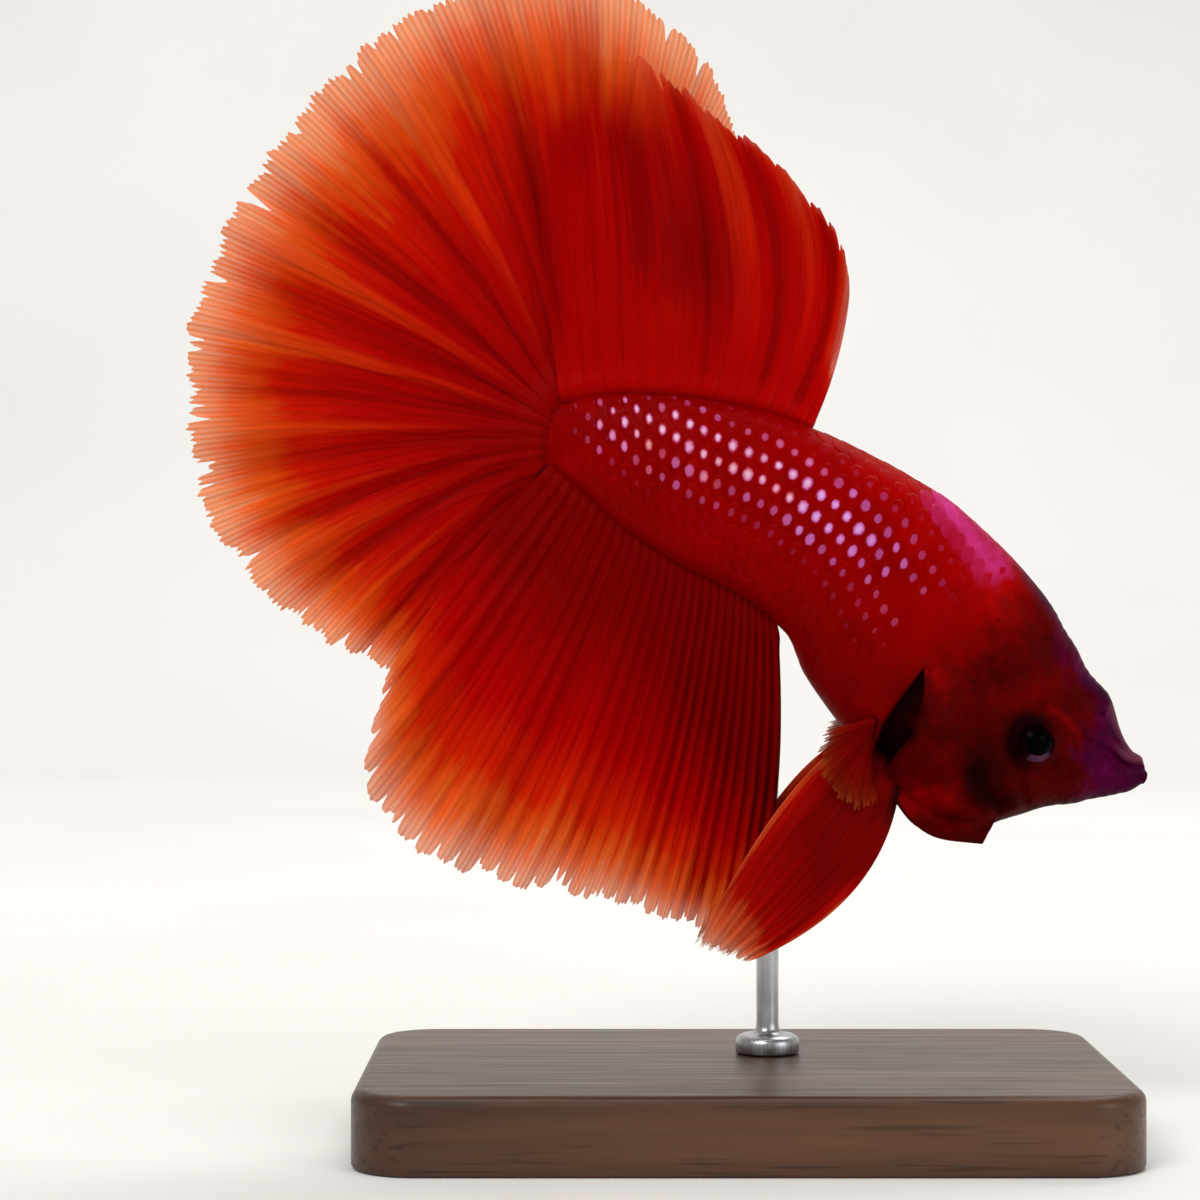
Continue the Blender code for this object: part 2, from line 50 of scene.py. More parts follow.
# body sections: distance from the snout, height above the line, depth below it, half width
SECTIONS = ((0.0, 0.45, 0.80, 0.55), (1.0, 1.10, 1.75, 1.25), (2.2, 1.95, 2.65, 1.85), (4.0, 3.85, 3.95, 2.60),
            (6.5, 5.40, 5.60, 3.35), (9.5, 6.85, 8.85, 4.25), (13.0, 8.15, 10.65, 5.00), (17.0, 9.20, 10.55, 5.45),
            (21.5, 9.55, 9.85, 5.75), (26.0, 9.50, 8.95, 5.65), (30.0, 8.85, 7.40, 5.30), (35.0, 8.00, 7.10, 4.75),
            (41.0, 7.20, 7.00, 4.00), (47.0, 6.10, 6.05, 3.05), (52.0, 4.70, 3.90, 2.0), (55.6, 3.05, 2.85, 0.85))
TAIL_SWING, HEAD_SWING = 3.0, 1.2  # how far the two ends bend towards +y
BEND_FROM = 20.0

EYE_CENTRE, EYE_RADIUS, EYE_STANDS_OUT = (23.05, 31.6), 1.75, 0.7
HEAD_END, TRUNK_END = 19.0, 41.0
GAP = 0.3


def natural_spline(knots, values):
    """The smooth curve through the knots, with no bend at its two ends."""
    x, y = np.asarray(knots, float), np.asarray(values, float)
    n, h = len(x), np.diff(np.asarray(knots, float))
    a, r = np.eye(n), np.zeros(n)
    for i in range(1, n - 1):
        a[i, i - 1:i + 2] = h[i - 1], 2 * (h[i - 1] + h[i]), h[i]
        r[i] = 6 * ((y[i + 1] - y[i]) / h[i] - (y[i] - y[i - 1]) / h[i - 1])
    m = np.linalg.solve(a, r)

    def at(t, slope=False):
        t = np.asarray(t, float)
        i = np.clip(np.searchsorted(x, t) - 1, 0, n - 2)
        p, q = x[i + 1] - t, t - x[i]
        if slope:
            return (-m[i] * p ** 2 + m[i + 1] * q ** 2) / (2 * h[i]) + (y[i + 1] - y[i]) / h[i] - (m[i + 1] - m[i]) * h[i] / 6
        return ((m[i] * p ** 3 + m[i + 1] * q ** 3) / (6 * h[i]) + (y[i] / h[i] - m[i] * h[i] / 6) * p
                + (y[i + 1] / h[i] - m[i + 1] * h[i] / 6) * q)
    return at


def monotone_spline(knots, values):
    """The curve through the knots that never overshoots them."""
    x, y = np.asarray(knots, float), np.asarray(values, float)
    h = np.diff(x)
    d = np.diff(y) / h
    m = np.r_[d[0], np.where(d[1:] * d[:-1] > 0, 3 * (h[:-1] + h[1:]) / ((2 * h[1:] + h[:-1]) / np.where(d[:-1] == 0, 1, d[:-1])
              + (h[1:] + 2 * h[:-1]) / np.where(d[1:] == 0, 1, d[1:])), 0.0), d[-1]]

    def at(t):
        t = np.clip(np.asarray(t, float), x[0], x[-1])
        i = np.clip(np.searchsorted(x, t) - 1, 0, len(x) - 2)
        w = (t - x[i]) / h[i]
        return (y[i] * (1 + 2 * w) * (1 - w) ** 2 + y[i + 1] * w * w * (3 - 2 * w)
                + h[i] * (m[i] * w * (1 - w) ** 2 + m[i + 1] * w * w * (w - 1)))
    return at


def smooth(t):
    t = np.clip(t, 0.0, 1.0)
    return t * t * (3 - 2 * t)


_S = np.array(SPINE)
_B = np.array(SECTIONS)
line_x, line_z = natural_spline(_S[:, 0], _S[:, 1]), natural_spline(_S[:, 0], _S[:, 2])
height, depth, half_width = (monotone_spline(_B[:, 0], _B[:, k]) for k in (1, 2, 3))


def swing(s):
    s = np.asarray(s, float)
    return np.where(s > BEND_FROM, TAIL_SWING * ((s - BEND_FROM) / (STANDARD_LENGTH - BEND_FROM)) ** 2,
                    HEAD_SWING * ((BEND_FROM - s) / BEND_FROM) ** 2)


def across(s):
    """The unit direction from the body line to the back, in the x-z plane."""
    dx, dz = line_x(s, True), line_z(s, True)
    size = np.hypot(dx, dz)
    return dz / size, -dx / size


def fullness(c):
    return 0.17 + 0.09 * c


def body_point(s, turn, grow=0.0):
    """A point of the body's outside. turn is 0 at the back, a quarter turn on the right flank (-y) and a half at the belly."""
    s, c = np.asarray(s, float), np.cos(turn)
    nx, nz = across(s)
    up = np.where(c > 0, height(s) + grow, depth(s) + grow) * c
    y = -(half_width(s) + grow) * np.sin(turn) * (1 + fullness(c) * c * c)
    return np.stack(np.broadcast_arrays(line_x(s) + nx * up, swing(s) + y, line_z(s) + nz * up), axis=-1)


_FINE = np.linspace(0.0, STANDARD_LENGTH, 1400)
_FX, _FZ = line_x(_FINE), line_z(_FINE)


def station_of(x, z):
    """How far along the body line a point lies, and how far above it."""
    x, z = np.atleast_1d(np.asarray(x, float)), np.atleast_1d(np.asarray(z, float))
    s = np.empty(x.size)
    for a in range(0, x.size, 4000):
        far = (x.ravel()[a:a + 4000, None] - _FX) ** 2 + (z.ravel()[a:a + 4000, None] - _FZ) ** 2
        s[a:a + 4000] = _FINE[far.argmin(1)]
    s = s.reshape(x.shape)
    nx, nz = across(s)
    return s, (x - line_x(s)) * nx + (z - line_z(s)) * nz


def flank(x, z, least=0.0):
    """The body's half width at a point of its side view, or least where that is more."""
    s, up = station_of(x, z)
    c = np.clip(up / np.where(up > 0, height(s), depth(s)), -1.0, 1.0)
    return np.maximum(half_width(s) * np.sqrt(1 - c * c) * (1 + fullness(c) * c * c), least), s


def curve_through(knots):
    """x and z as smooth functions of the share of the way along, from (share, x, z) knots."""
    k = np.array(knots, float)
    fx, fz = natural_spline(k[:, 0], k[:, 1]), natural_spline(k[:, 0], k[:, 2])
    return lambda u: np.stack([fx(u), fz(u)], axis=-1)


def bent(b, c, t, v):
    v = np.asarray(v, float)[..., None]
    return (1 - v) ** 2 * b + 2 * v * (1 - v) * c + v * v * t


# ---- dorsal fin: base along the back, tips and the point each ray bows towards ----
DORSAL_BASE = (37.2, 54.7)
DORSAL_TIPS = curve_through(((0, 9.0, 68.8), (.08, 7.7, 72.6), (.16, 5.0, 76.0), (.24, 1.7, 79.2), (.32, -1.6, 81.5),
                             (.42, -4.5, 83.9), (.55, -7.6, 86.1), (.7, -10.6, 86.6), (1, -15.4, 85.4)))
DORSAL_BOW = curve_through(((0, 8.6, 62.8), (.12, 8.6, 67.5), (.28, 5.2, 70.8), (.42, 1.5, 70.8), (.6, -4.0, 71.6),
                            (.8, -9.8, 72.4), (1, -15.1, 71.4)))


def dorsal(u, v, sink=0.0):
    s = DORSAL_BASE[0] + (DORSAL_BASE[1] - DORSAL_BASE[0]) * u
    nx, nz = across(s)
    up = height(s) + GAP - sink
    p = bent(np.stack([line_x(s) + nx * up, line_z(s) + nz * up], -1), DORSAL_BOW(u), DORSAL_TIPS(u), v)
    rise = v ** 0.6
    y = (swing(s) - 0.3 * smooth((u - 0.8) / 0.2) - 3.0 * smooth((u - 0.05) / 0.65) * (1 - 0.6 * smooth((u - 0.75) / 0.25)) * rise + 0.75 * v ** 1.2 * np.sin(2 * np.pi * 5.2 * u ** 0.85 + 1.4 * v)
         * (1 - 0.55 * smooth((u - 0.5) / 0.4)))
    return p, y


# ---- anal fin ----
ANAL_BASE = (31.4, 54.9)
ANAL_TIPS = curve_through(((0, 1.0, 17.8), (.08, -0.9, 16.5), (.16, -3.2, 16.2), (.3, -7.4, 17.2), (.45, -12.4, 18.4),
                           (.6, -18.3, 19.6), (.72, -23.6, 21.2), (.8, -27.1, 23.2), (.87, -29.7, 26.6), (.93, -30.2, 30.8), (1, -28.6, 36.9)))
ANAL_BOW = curve_through(((0, 4.2, 26.6), (.25, -2.0, 29.7), (.5, -7.8, 32.4), (.75, -16.0, 35.6), (.9, -20.1, 40.6), (1, -21.8, 46.8)))


def anal(u, v, sink=0.0):
    s = ANAL_BASE[0] + (ANAL_BASE[1] - ANAL_BASE[0]) * u
    nx, nz = across(s)
    up = -(depth(s) + GAP - sink)
    p = bent(np.stack([line_x(s) + nx * up, line_z(s) + nz * up], -1), ANAL_BOW(u), ANAL_TIPS(u), v)
    y = (swing(s) - 0.3 * smooth((u - 0.8) / 0.2) - 2.6 * smooth((u - 0.35) / 0.6) * v ** 0.6
         + (0.35 + 0.55 * u) * v ** 1.2 * np.sin(2 * np.pi * 6.0 * u + 1.1 * v + 0.6))
    return p, y


# ---- tail fin: a half-moon fan about the end of the tail stem ----
CAUDAL_HUB = (-15.4, 58.2)
# its folds: angle at the edge, height towards the right flank (less than nothing is a crease), and width in degrees
CAUDAL_FOLDS = ((72, .5, 4.5), (85, -.6, 4), (92, .3, 2.5), (100, -.8, 3), (108, -.4, 2.5), (117, .95, 3.2), (126, -.5, 3), (133, .35, 2.6),
                (141, -.7, 2.8), (149.5, 1.0, 2.6), (157, -.8, 2.4), (165.4, .9, 2.2), (173.5, -.6, 3), (183.3, .8, 2.6), (191, -.5, 2.8),
                (199, .5, 2.4), (205, -.6, 2.2), (211, .9, 2.6), (218.5, -.7, 2.4), (225.7, .8, 2.4), (232, -.5, 2.2))
CAUDAL_SWEEP = monotone_spline((50, 75, 95, 150, 185, 216, 236, 247), (-4, 3, 8, 8, 12, 22, 10, -2))   # how far each ray turns on its way out
CAUDAL_ANGLES = (50.0, 247.0)       # first and last ray, degrees from +x
CAUDAL_REACH = monotone_spline((50, 57, 66, 73, 79, 92, 104, 115, 132, 160, 185, 205, 222, 238, 247),
                               (26.0, 28.3, 31.6, 32.9, 34.8, 36.2, 35.0, 33.4, 31.2, 29.8, 29.2, 28.1, 26.4, 25.0, 22.5))
TAIL_AXIS = (-0.985, 0.17)


def caudal(u, v, sink=0.0):
    u = np.asarray(u, float)
    angle = CAUDAL_ANGLES[0] + (CAUDAL_ANGLES[1] - CAUDAL_ANGLES[0]) * u
    way = np.stack([np.cos(np.radians(angle)), np.sin(np.radians(angle))], -1)
    reach = CAUDAL_REACH(angle)[..., None]
    end = STANDARD_LENGTH
    nx, nz = across(end)
    up = height(end) - 0.15 - (height(end) + depth(end) - 0.3) * u ** 1.5
    out = GAP + 0.35 * np.sin(np.pi * u) - sink
    base = np.stack([line_x(end) + nx * up + TAIL_AXIS[0] * out, line_z(end) + nz * up + TAIL_AXIS[1] * out], -1)
    start = np.radians(angle - CAUDAL_SWEEP(angle))
    bow = base + np.stack([np.cos(start), np.sin(start)], -1) * reach * 0.45
    p = bent(base, bow, np.array(CAUDAL_HUB) + way * reach, v)
    top, low = 1 - smooth(u / 0.62), smooth((u - 0.70) / 0.28)
    return p, TAIL_SWING + 0.3 * smooth((abs(2 * u - 1) - 0.7) / 0.3) + (2.3 * top + 1.2 * low) * v ** 0.6 - 1.15 * v ** 1.2 * caudal_fold(u)


def caudal_fold(u):
    """From -1 in a crease to 1 on a crest."""
    angle = CAUDAL_ANGLES[0] + (CAUDAL_ANGLES[1] - CAUDAL_ANGLES[0]) * u
    return sum(high * np.exp(-((angle - at) / wide) ** 2) for at, high, wide in CAUDAL_FOLDS)


# ---- pelvic and pectoral fins; side is -1 for the right one and +1 for the left one ----
PELVIC_FRONT = ((12.4, 28.6), (11.7, 18.6), (0.3, 14.1))
PELVIC_REAR = ((9.4, 31.4), (3.6, 30.2), (-3.6, 15.3))


def pelvic(u, v, side, sink=0.0):
    u, v = np.asarray(u, float), np.asarray(v, float)
    ends = [np.array(PELVIC_FRONT[k]) * (1 - u[..., None]) + np.array(PELVIC_REAR[k]) * u[..., None] for k in range(3)]
    ends[1] = ends[1] + 0.8 * np.sin(np.pi * u)[..., None] * np.array((0.3, -0.4))
    slip = (0.0 if side < 0 else 1.3) * v[..., None] * (1 - u[..., None])
    p = bent(*ends, v) + slip * np.array((-1.0, 0.3)) + sink * np.array((0.35, 0.9)) * (1 - v[..., None])
    belly = np.sin(np.pi * np.clip(v, 0, 1)) ** 0.8 * (0.6 + 0.4 * u)
    spread = 2.0 + 1.9 * belly + 0.9 * v if side < 0 else 2.0 + 0.5 * belly
    y = side * (spread - 0.25 * sink * (1 - v) + 0.2 * v * np.sin(2 * np.pi * 1.6 * u + 0.8))
    return p, y


PECTORAL_ROOT = ((10.6, 33.6), (10.2, 31.6))
PECTORAL_HUB, PECTORAL_ANGLES = (10.9, 32.6), (180.0, 270.0)
PECTORAL_REACH = monotone_spline((180, 200, 225, 250, 270), (4.7, 5.6, 6.5, 6.9, 6.4))


def pectoral(u, v, side, sink=0.0):
    u, v = np.asarray(u, float), np.asarray(v, float)
    angle = PECTORAL_ANGLES[0] + (PECTORAL_ANGLES[1] - PECTORAL_ANGLES[0]) * u
    way = np.stack([np.cos(np.radians(angle)), np.sin(np.radians(angle))], -1)
    base = np.array(PECTORAL_ROOT[0]) * (1 - u[..., None]) + np.array(PECTORAL_ROOT[1]) * u[..., None]
    tip = np.array(PECTORAL_HUB) + way * PECTORAL_REACH(angle)[..., None]
    p = bent(base, base * 0.55 + tip * 0.45 + np.array((-0.3, -0.1)), tip, v)
    wide, s = flank(base[..., 0], base[..., 1])
    out = wide + GAP + 0.35 - sink
    y = side * (out + 2.9 * v ** 0.9 - 0.9 * v * v + 0.28 * v * np.sin(2 * np.pi * 3.0 * u)) + swing(s)
    return p, y


# ---- gill covers: a curved plate from a hinge line to its free rear edge ----
GILL_HINGE = curve_through(((0, 17.6, 38.4), (.5, 18.8, 31.9), (1, 20.9, 26.2)))
GILL_EDGE = curve_through(((0, 14.2, 37.4), (.18, 14.0, 34.9), (.31, 13.5, 32.7), (.42, 12.4, 31.2), (.52, 11.6, 29.7), (.63, 11.6, 28.0),
                           (.76, 12.9, 26.0), (.88, 15.6, 23.9), (1, 19.3, 23.3)))
GILL_RAISE, GILL_FLARE = 0.35, 0.75


def gill_cover(u, v):
    p = GILL_HINGE(u) * (1 - v[..., None]) + GILL_EDGE(u) * v[..., None]
    wide, s = flank(p[..., 0], p[..., 1], 1.1)
    return p, wide, swing(s)


# ---------------------------------------------------------------- mesh tools
def mesh_piece(name, points, faces, material, values=None, uv=None, loop_uv=None, smooth_faces=True):
    """An object from points in millimetres and faces of one size, with point values and an OFBake map."""
    points, faces = np.asarray(points, float), np.asarray(faces, np.int32)
    mesh = bpy.data.meshes.new(name)
    mesh.vertices.add(len(points))
    mesh.vertices.foreach_set("co", (points * 0.001).ravel())
    count, sides = faces.shape
    mesh.loops.add(count * sides)
    mesh.loops.foreach_set("vertex_index", faces.ravel())
    mesh.polygons.add(count)
    mesh.polygons.foreach_set("loop_start", np.arange(0, count * sides, sides, dtype=np.int32))
    mesh.polygons.foreach_set("use_smooth", np.full(count, smooth_faces))
    mesh.update(calc_edges=True)
    for key, value in (values or {}).items():
        mesh.attributes.new(key, "FLOAT", "POINT").data.foreach_set("value", np.asarray(value, np.float32).ravel())
    layer = mesh.uv_layers.new(name="OFBake")
    if loop_uv is None:
        loop_uv = np.asarray(uv)[faces.ravel()] if uv is not None else np.zeros((count * sides, 2))
    layer.data.foreach_set("uv", np.asarray(loop_uv, np.float32).ravel())
    mesh.materials.append(material)
    made = bpy.data.objects.new(name, mesh)
    bpy.context.scene.collection.objects.link(made)
    return made


def grid_faces(rows, columns, start=0, closed=False):
    """Quads over a grid of points; closed joins the last column to the first."""
    r, c = np.meshgrid(np.arange(rows - 1), np.arange(columns if closed else columns - 1), indexing="ij")
    d = (c + 1) % columns
    return np.stack([r * columns + c, r * columns + d, (r + 1) * columns + d, (r + 1) * columns + c], -1).reshape(-1, 4) + start


def unit(v):
    return v / np.maximum(np.linalg.norm(v, axis=-1, keepdims=True), 1e-9)


def bell(d, width):
    return np.exp(-(d / width) ** 2)


def to_polyline(x, z, line):
    """Distance in the side view to a line of (x, z) points, and the share of the way along it."""
    line = np.asarray(line, float)
    best, share = np.full(np.shape(x), 1e9), np.zeros(np.shape(x))
    steps = np.r_[0, np.cumsum(np.hypot(*np.diff(line, axis=0).T))]
    for k in range(len(line) - 1):
        a, b = line[k], line[k + 1]
        d = b - a
        t = np.clip(((x - a[0]) * d[0] + (z - a[1]) * d[1]) / (d @ d), 0, 1)
        far = np.hypot(x - a[0] - t * d[0], z - a[1] - t * d[1])
        share = np.where(far < best, (steps[k] + t * (steps[k + 1] - steps[k])) / steps[-1], share)
        best = np.minimum(best, far)
    return best, share


def soft_noise(x, y, scale, seed):
    """Smooth noise from -1 to 1, by a few sines of set random directions."""
    r = np.random.default_rng(seed)
    total = 0.0
    for k in range(6):
        turn, phase, f = r.uniform(0, 2 * math.pi), r.uniform(0, 2 * math.pi), r.uniform(0.6, 1.6) / scale
        total = total + np.sin((x * math.cos(turn) + y * math.sin(turn)) * f * 2 * math.pi + phase)
    return total / 3.2


# ---------------------------------------------------------------- material tools
class Nodes:
    def __init__(self, name):
        self.material = bpy.data.materials.new(name)
        self.material.use_nodes = True
        self.tree = self.material.node_tree
        self.shader = self.tree.nodes["Principled BSDF"]
        self.output = self.tree.nodes["Material Output"]

    def new(self, kind, **settings):
        node = self.tree.nodes.new(kind)
        for key, value in settings.items():
            setattr(node, key, value)
        return node

    def put(self, socket, value):
        if isinstance(value, bpy.types.NodeSocket):
            self.tree.links.new(value, socket)
        elif isinstance(value, tuple) and len(value) == 3 and socket.type == "RGBA":
            socket.default_value = (*value, 1.0)
        else:
            socket.default_value = value

    def value(self, name):
        return self.new("ShaderNodeAttribute", attribute_name=name).outputs["Fac"]

    def math(self, operation, *inputs, clamp=False):
        node = self.new("ShaderNodeMath", operation=operation, use_clamp=clamp)
        for socket, item in zip(node.inputs, inputs):
            self.put(socket, item)
        return node.outputs[0]

    def ramp(self, at, *stops, mode="LINEAR"):
        node = self.new("ShaderNodeValToRGB")
        node.color_ramp.interpolation = mode
        elements = node.color_ramp.elements
        while len(elements) < len(stops):
            elements.new(0.5)
        for element, (place, colour) in zip(elements, stops):
            element.position = place
            element.color = (*colour, 1.0) if isinstance(colour, tuple) else (colour, colour, colour, 1.0)
        self.put(node.inputs["Fac"], at)
        return node.outputs["Color"]

    def spread(self, at, low, high, to_low=0.0, to_high=1.0):
        node = self.new("ShaderNodeMapRange", interpolation_type="SMOOTHSTEP")
        for key, item in (("Value", at), ("From Min", low), ("From Max", high), ("To Min", to_low), ("To Max", to_high)):
            self.put(node.inputs[key], item)
        return node.outputs["Result"]

    def mix(self, share, a, b, how="MIX"):
        node = self.new("ShaderNodeMix", data_type="RGBA", blend_type=how)
        self.put(node.inputs[0], share)
        self.put(node.inputs[6], a)
        self.put(node.inputs[7], b)
        return node.outputs[2]

    def vector(self, x, y, z=0.0):
        node = self.new("ShaderNodeCombineXYZ")
        for socket, item in zip(node.inputs, (x, y, z)):
            self.put(socket, item)
        return node.outputs[0]

    def noise(self, where, scale, detail=3.0, rough=0.55):
        node = self.new("ShaderNodeTexNoise")
        self.put(node.inputs["Vector"], where)
        for key, item in (("Scale", scale), ("Detail", detail), ("Roughness", rough)):
            node.inputs[key].default_value = item
        return node.outputs["Fac"]

    def place(self, scale=(1000.0, 1000.0, 1000.0)):
        """The point in the object's own space, in millimetres."""
        at = self.new("ShaderNodeTexCoord").outputs["Object"]
        node = self.new("ShaderNodeMapping")
        self.put(node.inputs["Vector"], at)
        node.inputs["Scale"].default_value = scale
        return node.outputs[0]

    def bump(self, height, strength, distance):
        node = self.new("ShaderNodeBump")
        self.put(node.inputs["Height"], height)
        node.inputs["Strength"].default_value = strength
        node.inputs["Distance"].default_value = distance
        return node.outputs[0]

    def set(self, **settings):
        for key, item in settings.items():
            self.put(self.shader.inputs[key.replace("_", " ")], item)


def srgb(r, g, b):
    """A screen colour from 0 to 255 as linear light."""
    c = np.array((r, g, b)) / 255.0
    return tuple(float(x) for x in np.where(c <= 0.04045, c / 12.92, ((c + 0.055) / 1.055) ** 2.4))


# ---------------------------------------------------------------- materials
def fin_material(name, inner, middle, outer, fringe, clear=0.55, light=0.35, deep=None, folds=0.15, lines=1.0, streaks=0.7, warm=0.9,
                 crests=(srgb(176, 4, 0), srgb(208, 34, 2), srgb(226, 72, 14), srgb(236, 116, 60))):
    """Rays and membrane: values rim (0 at the free edge, 1 where the warm border ends), ray, fold, fin_u and fin_v."""
    n = Nodes(name)
    rim, ray, fold, u, v = (n.value(k) for k in ("rim", "ray", "fold", "fin_u", "fin_v"))
    streak = n.noise(n.vector(n.math("MULTIPLY", u, 46.0), n.math("MULTIPLY", v, 1.6)), 1.0, 4.0, 0.6)
    hair = n.noise(n.vector(n.math("MULTIPLY", u, 190.0), n.math("MULTIPLY", v, 3.0)), 1.0, 3.0, 0.65)
    mottle = n.noise(n.place(), 0.35, 3.0)
    at = n.math("ADD", rim, n.math("MULTIPLY", n.math("SUBTRACT", streak, 0.5), streaks))
    at = n.math("ADD", at, n.math("MULTIPLY", n.math("SUBTRACT", hair, 0.5), 0.5 * streaks))
    at = n.math("ADD", at, n.math("MULTIPLY", n.math("SUBTRACT", mottle, 0.5), 0.3))
    # the fold value moves the colour paler on crests and deeper in creases: painted light and shade
    at = n.math("SUBTRACT", at, n.math("MULTIPLY", fold, folds))
    # the pale border stays at the very edge
    near = n.spread(rim, 0.0, 0.5, 0.75, 0.0)
    at = n.math("ADD", n.math("MULTIPLY", rim, near), n.math("MULTIPLY", at, n.math("SUBTRACT", 1.0, near)))
    colour = n.ramp(n.math("MULTIPLY", at, 0.4), (0.0, fringe), (0.03, fringe), (0.13, outer), (0.30, middle), (0.50, inner), (0.9, deep or inner))
    # painted shade in the folds' creases
    dark = n.math("MULTIPLY", n.spread(fold, -0.1, -0.9), n.spread(rim, 0.0, 1.0, 0.2, 0.8))
    colour = n.mix(dark, colour, n.mix(1.0, colour, (0.62, 0.45, 0.45), "MULTIPLY"))
    # folds that catch the light, narrower and redder on their way in
    crest = n.ramp(v, *zip((0.10, 0.45, 0.75, 0.95), crests))
    inward = n.spread(v, 0.12, 0.9, 0.50, 0.10)
    lit = n.math("MULTIPLY", n.spread(n.math("ADD", fold, n.math("MULTIPLY", n.math("SUBTRACT", streak, 0.5), 0.35)), inward, 1.35), n.spread(v, 0.06, 0.30, 0.0, warm))
    lit = n.math("MULTIPLY", lit, n.spread(rim, 0.05, 0.45, 0.2, 1.0))
    colour = n.mix(lit, colour, crest)
    between = n.math("MULTIPLY", ray, n.spread(rim, 0.1, 0.8, 0.10, 0.5 * lines))
    colour = n.mix(between, colour, n.mix(1.0, colour, (0.72, 0.42, 0.36), "MULTIPLY"))
    colour = n.mix(1.0, colour, n.ramp(hair, (0.25, 0.80), (0.75, 1.16)), "MULTIPLY")
    # the value shade darkens the colour towards near black: painted shade at the pelvic and pectoral fins' roots and
    # edges, and the dorsal fin's darker middle
    colour = n.mix(n.value("shade"), colour, n.mix(1.0, colour, (0.12, 0.08, 0.08), "MULTIPLY"))
    see = n.math("MULTIPLY", n.spread(n.math("ADD", rim, n.math("MULTIPLY", n.math("SUBTRACT", hair, 0.5), 0.2)), 0.60, -0.08), n.math("SUBTRACT", 1.0, n.math("MULTIPLY", ray, 0.7)))
    alpha = n.math("MULTIPLY", n.math("SUBTRACT", 1.0, n.math("MULTIPLY", see, clear)), n.math("SUBTRACT", 1.0, n.value("fade")))
    n.set(Base_Color=colour, Roughness=n.ramp(mottle, (0.3, 0.42), (0.7, 0.56)))
    n.shader.inputs["Specular IOR Level"].default_value = 0.05
    n.shader.inputs["Specular Tint"].default_value = (1.0, 0.5, 0.4, 1.0)
    n.put(n.shader.inputs["Normal"], n.bump(n.math("ADD", hair, n.math("MULTIPLY", ray, 0.6)), 0.25, 0.00006))
    glow = n.new("ShaderNodeBsdfTranslucent")
    n.put(glow.inputs["Color"], colour)
    mixed = n.new("ShaderNodeMixShader")
    mixed.inputs[0].default_value = light
    n.tree.links.new(n.shader.outputs[0], mixed.inputs[1])
    n.tree.links.new(glow.outputs[0], mixed.inputs[2])
    veil = n.new("ShaderNodeMixShader")
    n.put(veil.inputs[0], alpha)
    n.tree.links.new(n.new("ShaderNodeBsdfTransparent").outputs[0], veil.inputs[1])
    n.tree.links.new(mixed.outputs[0], veil.inputs[2])
    n.tree.links.new(veil.outputs[0], n.output.inputs["Surface"])
    return n.material


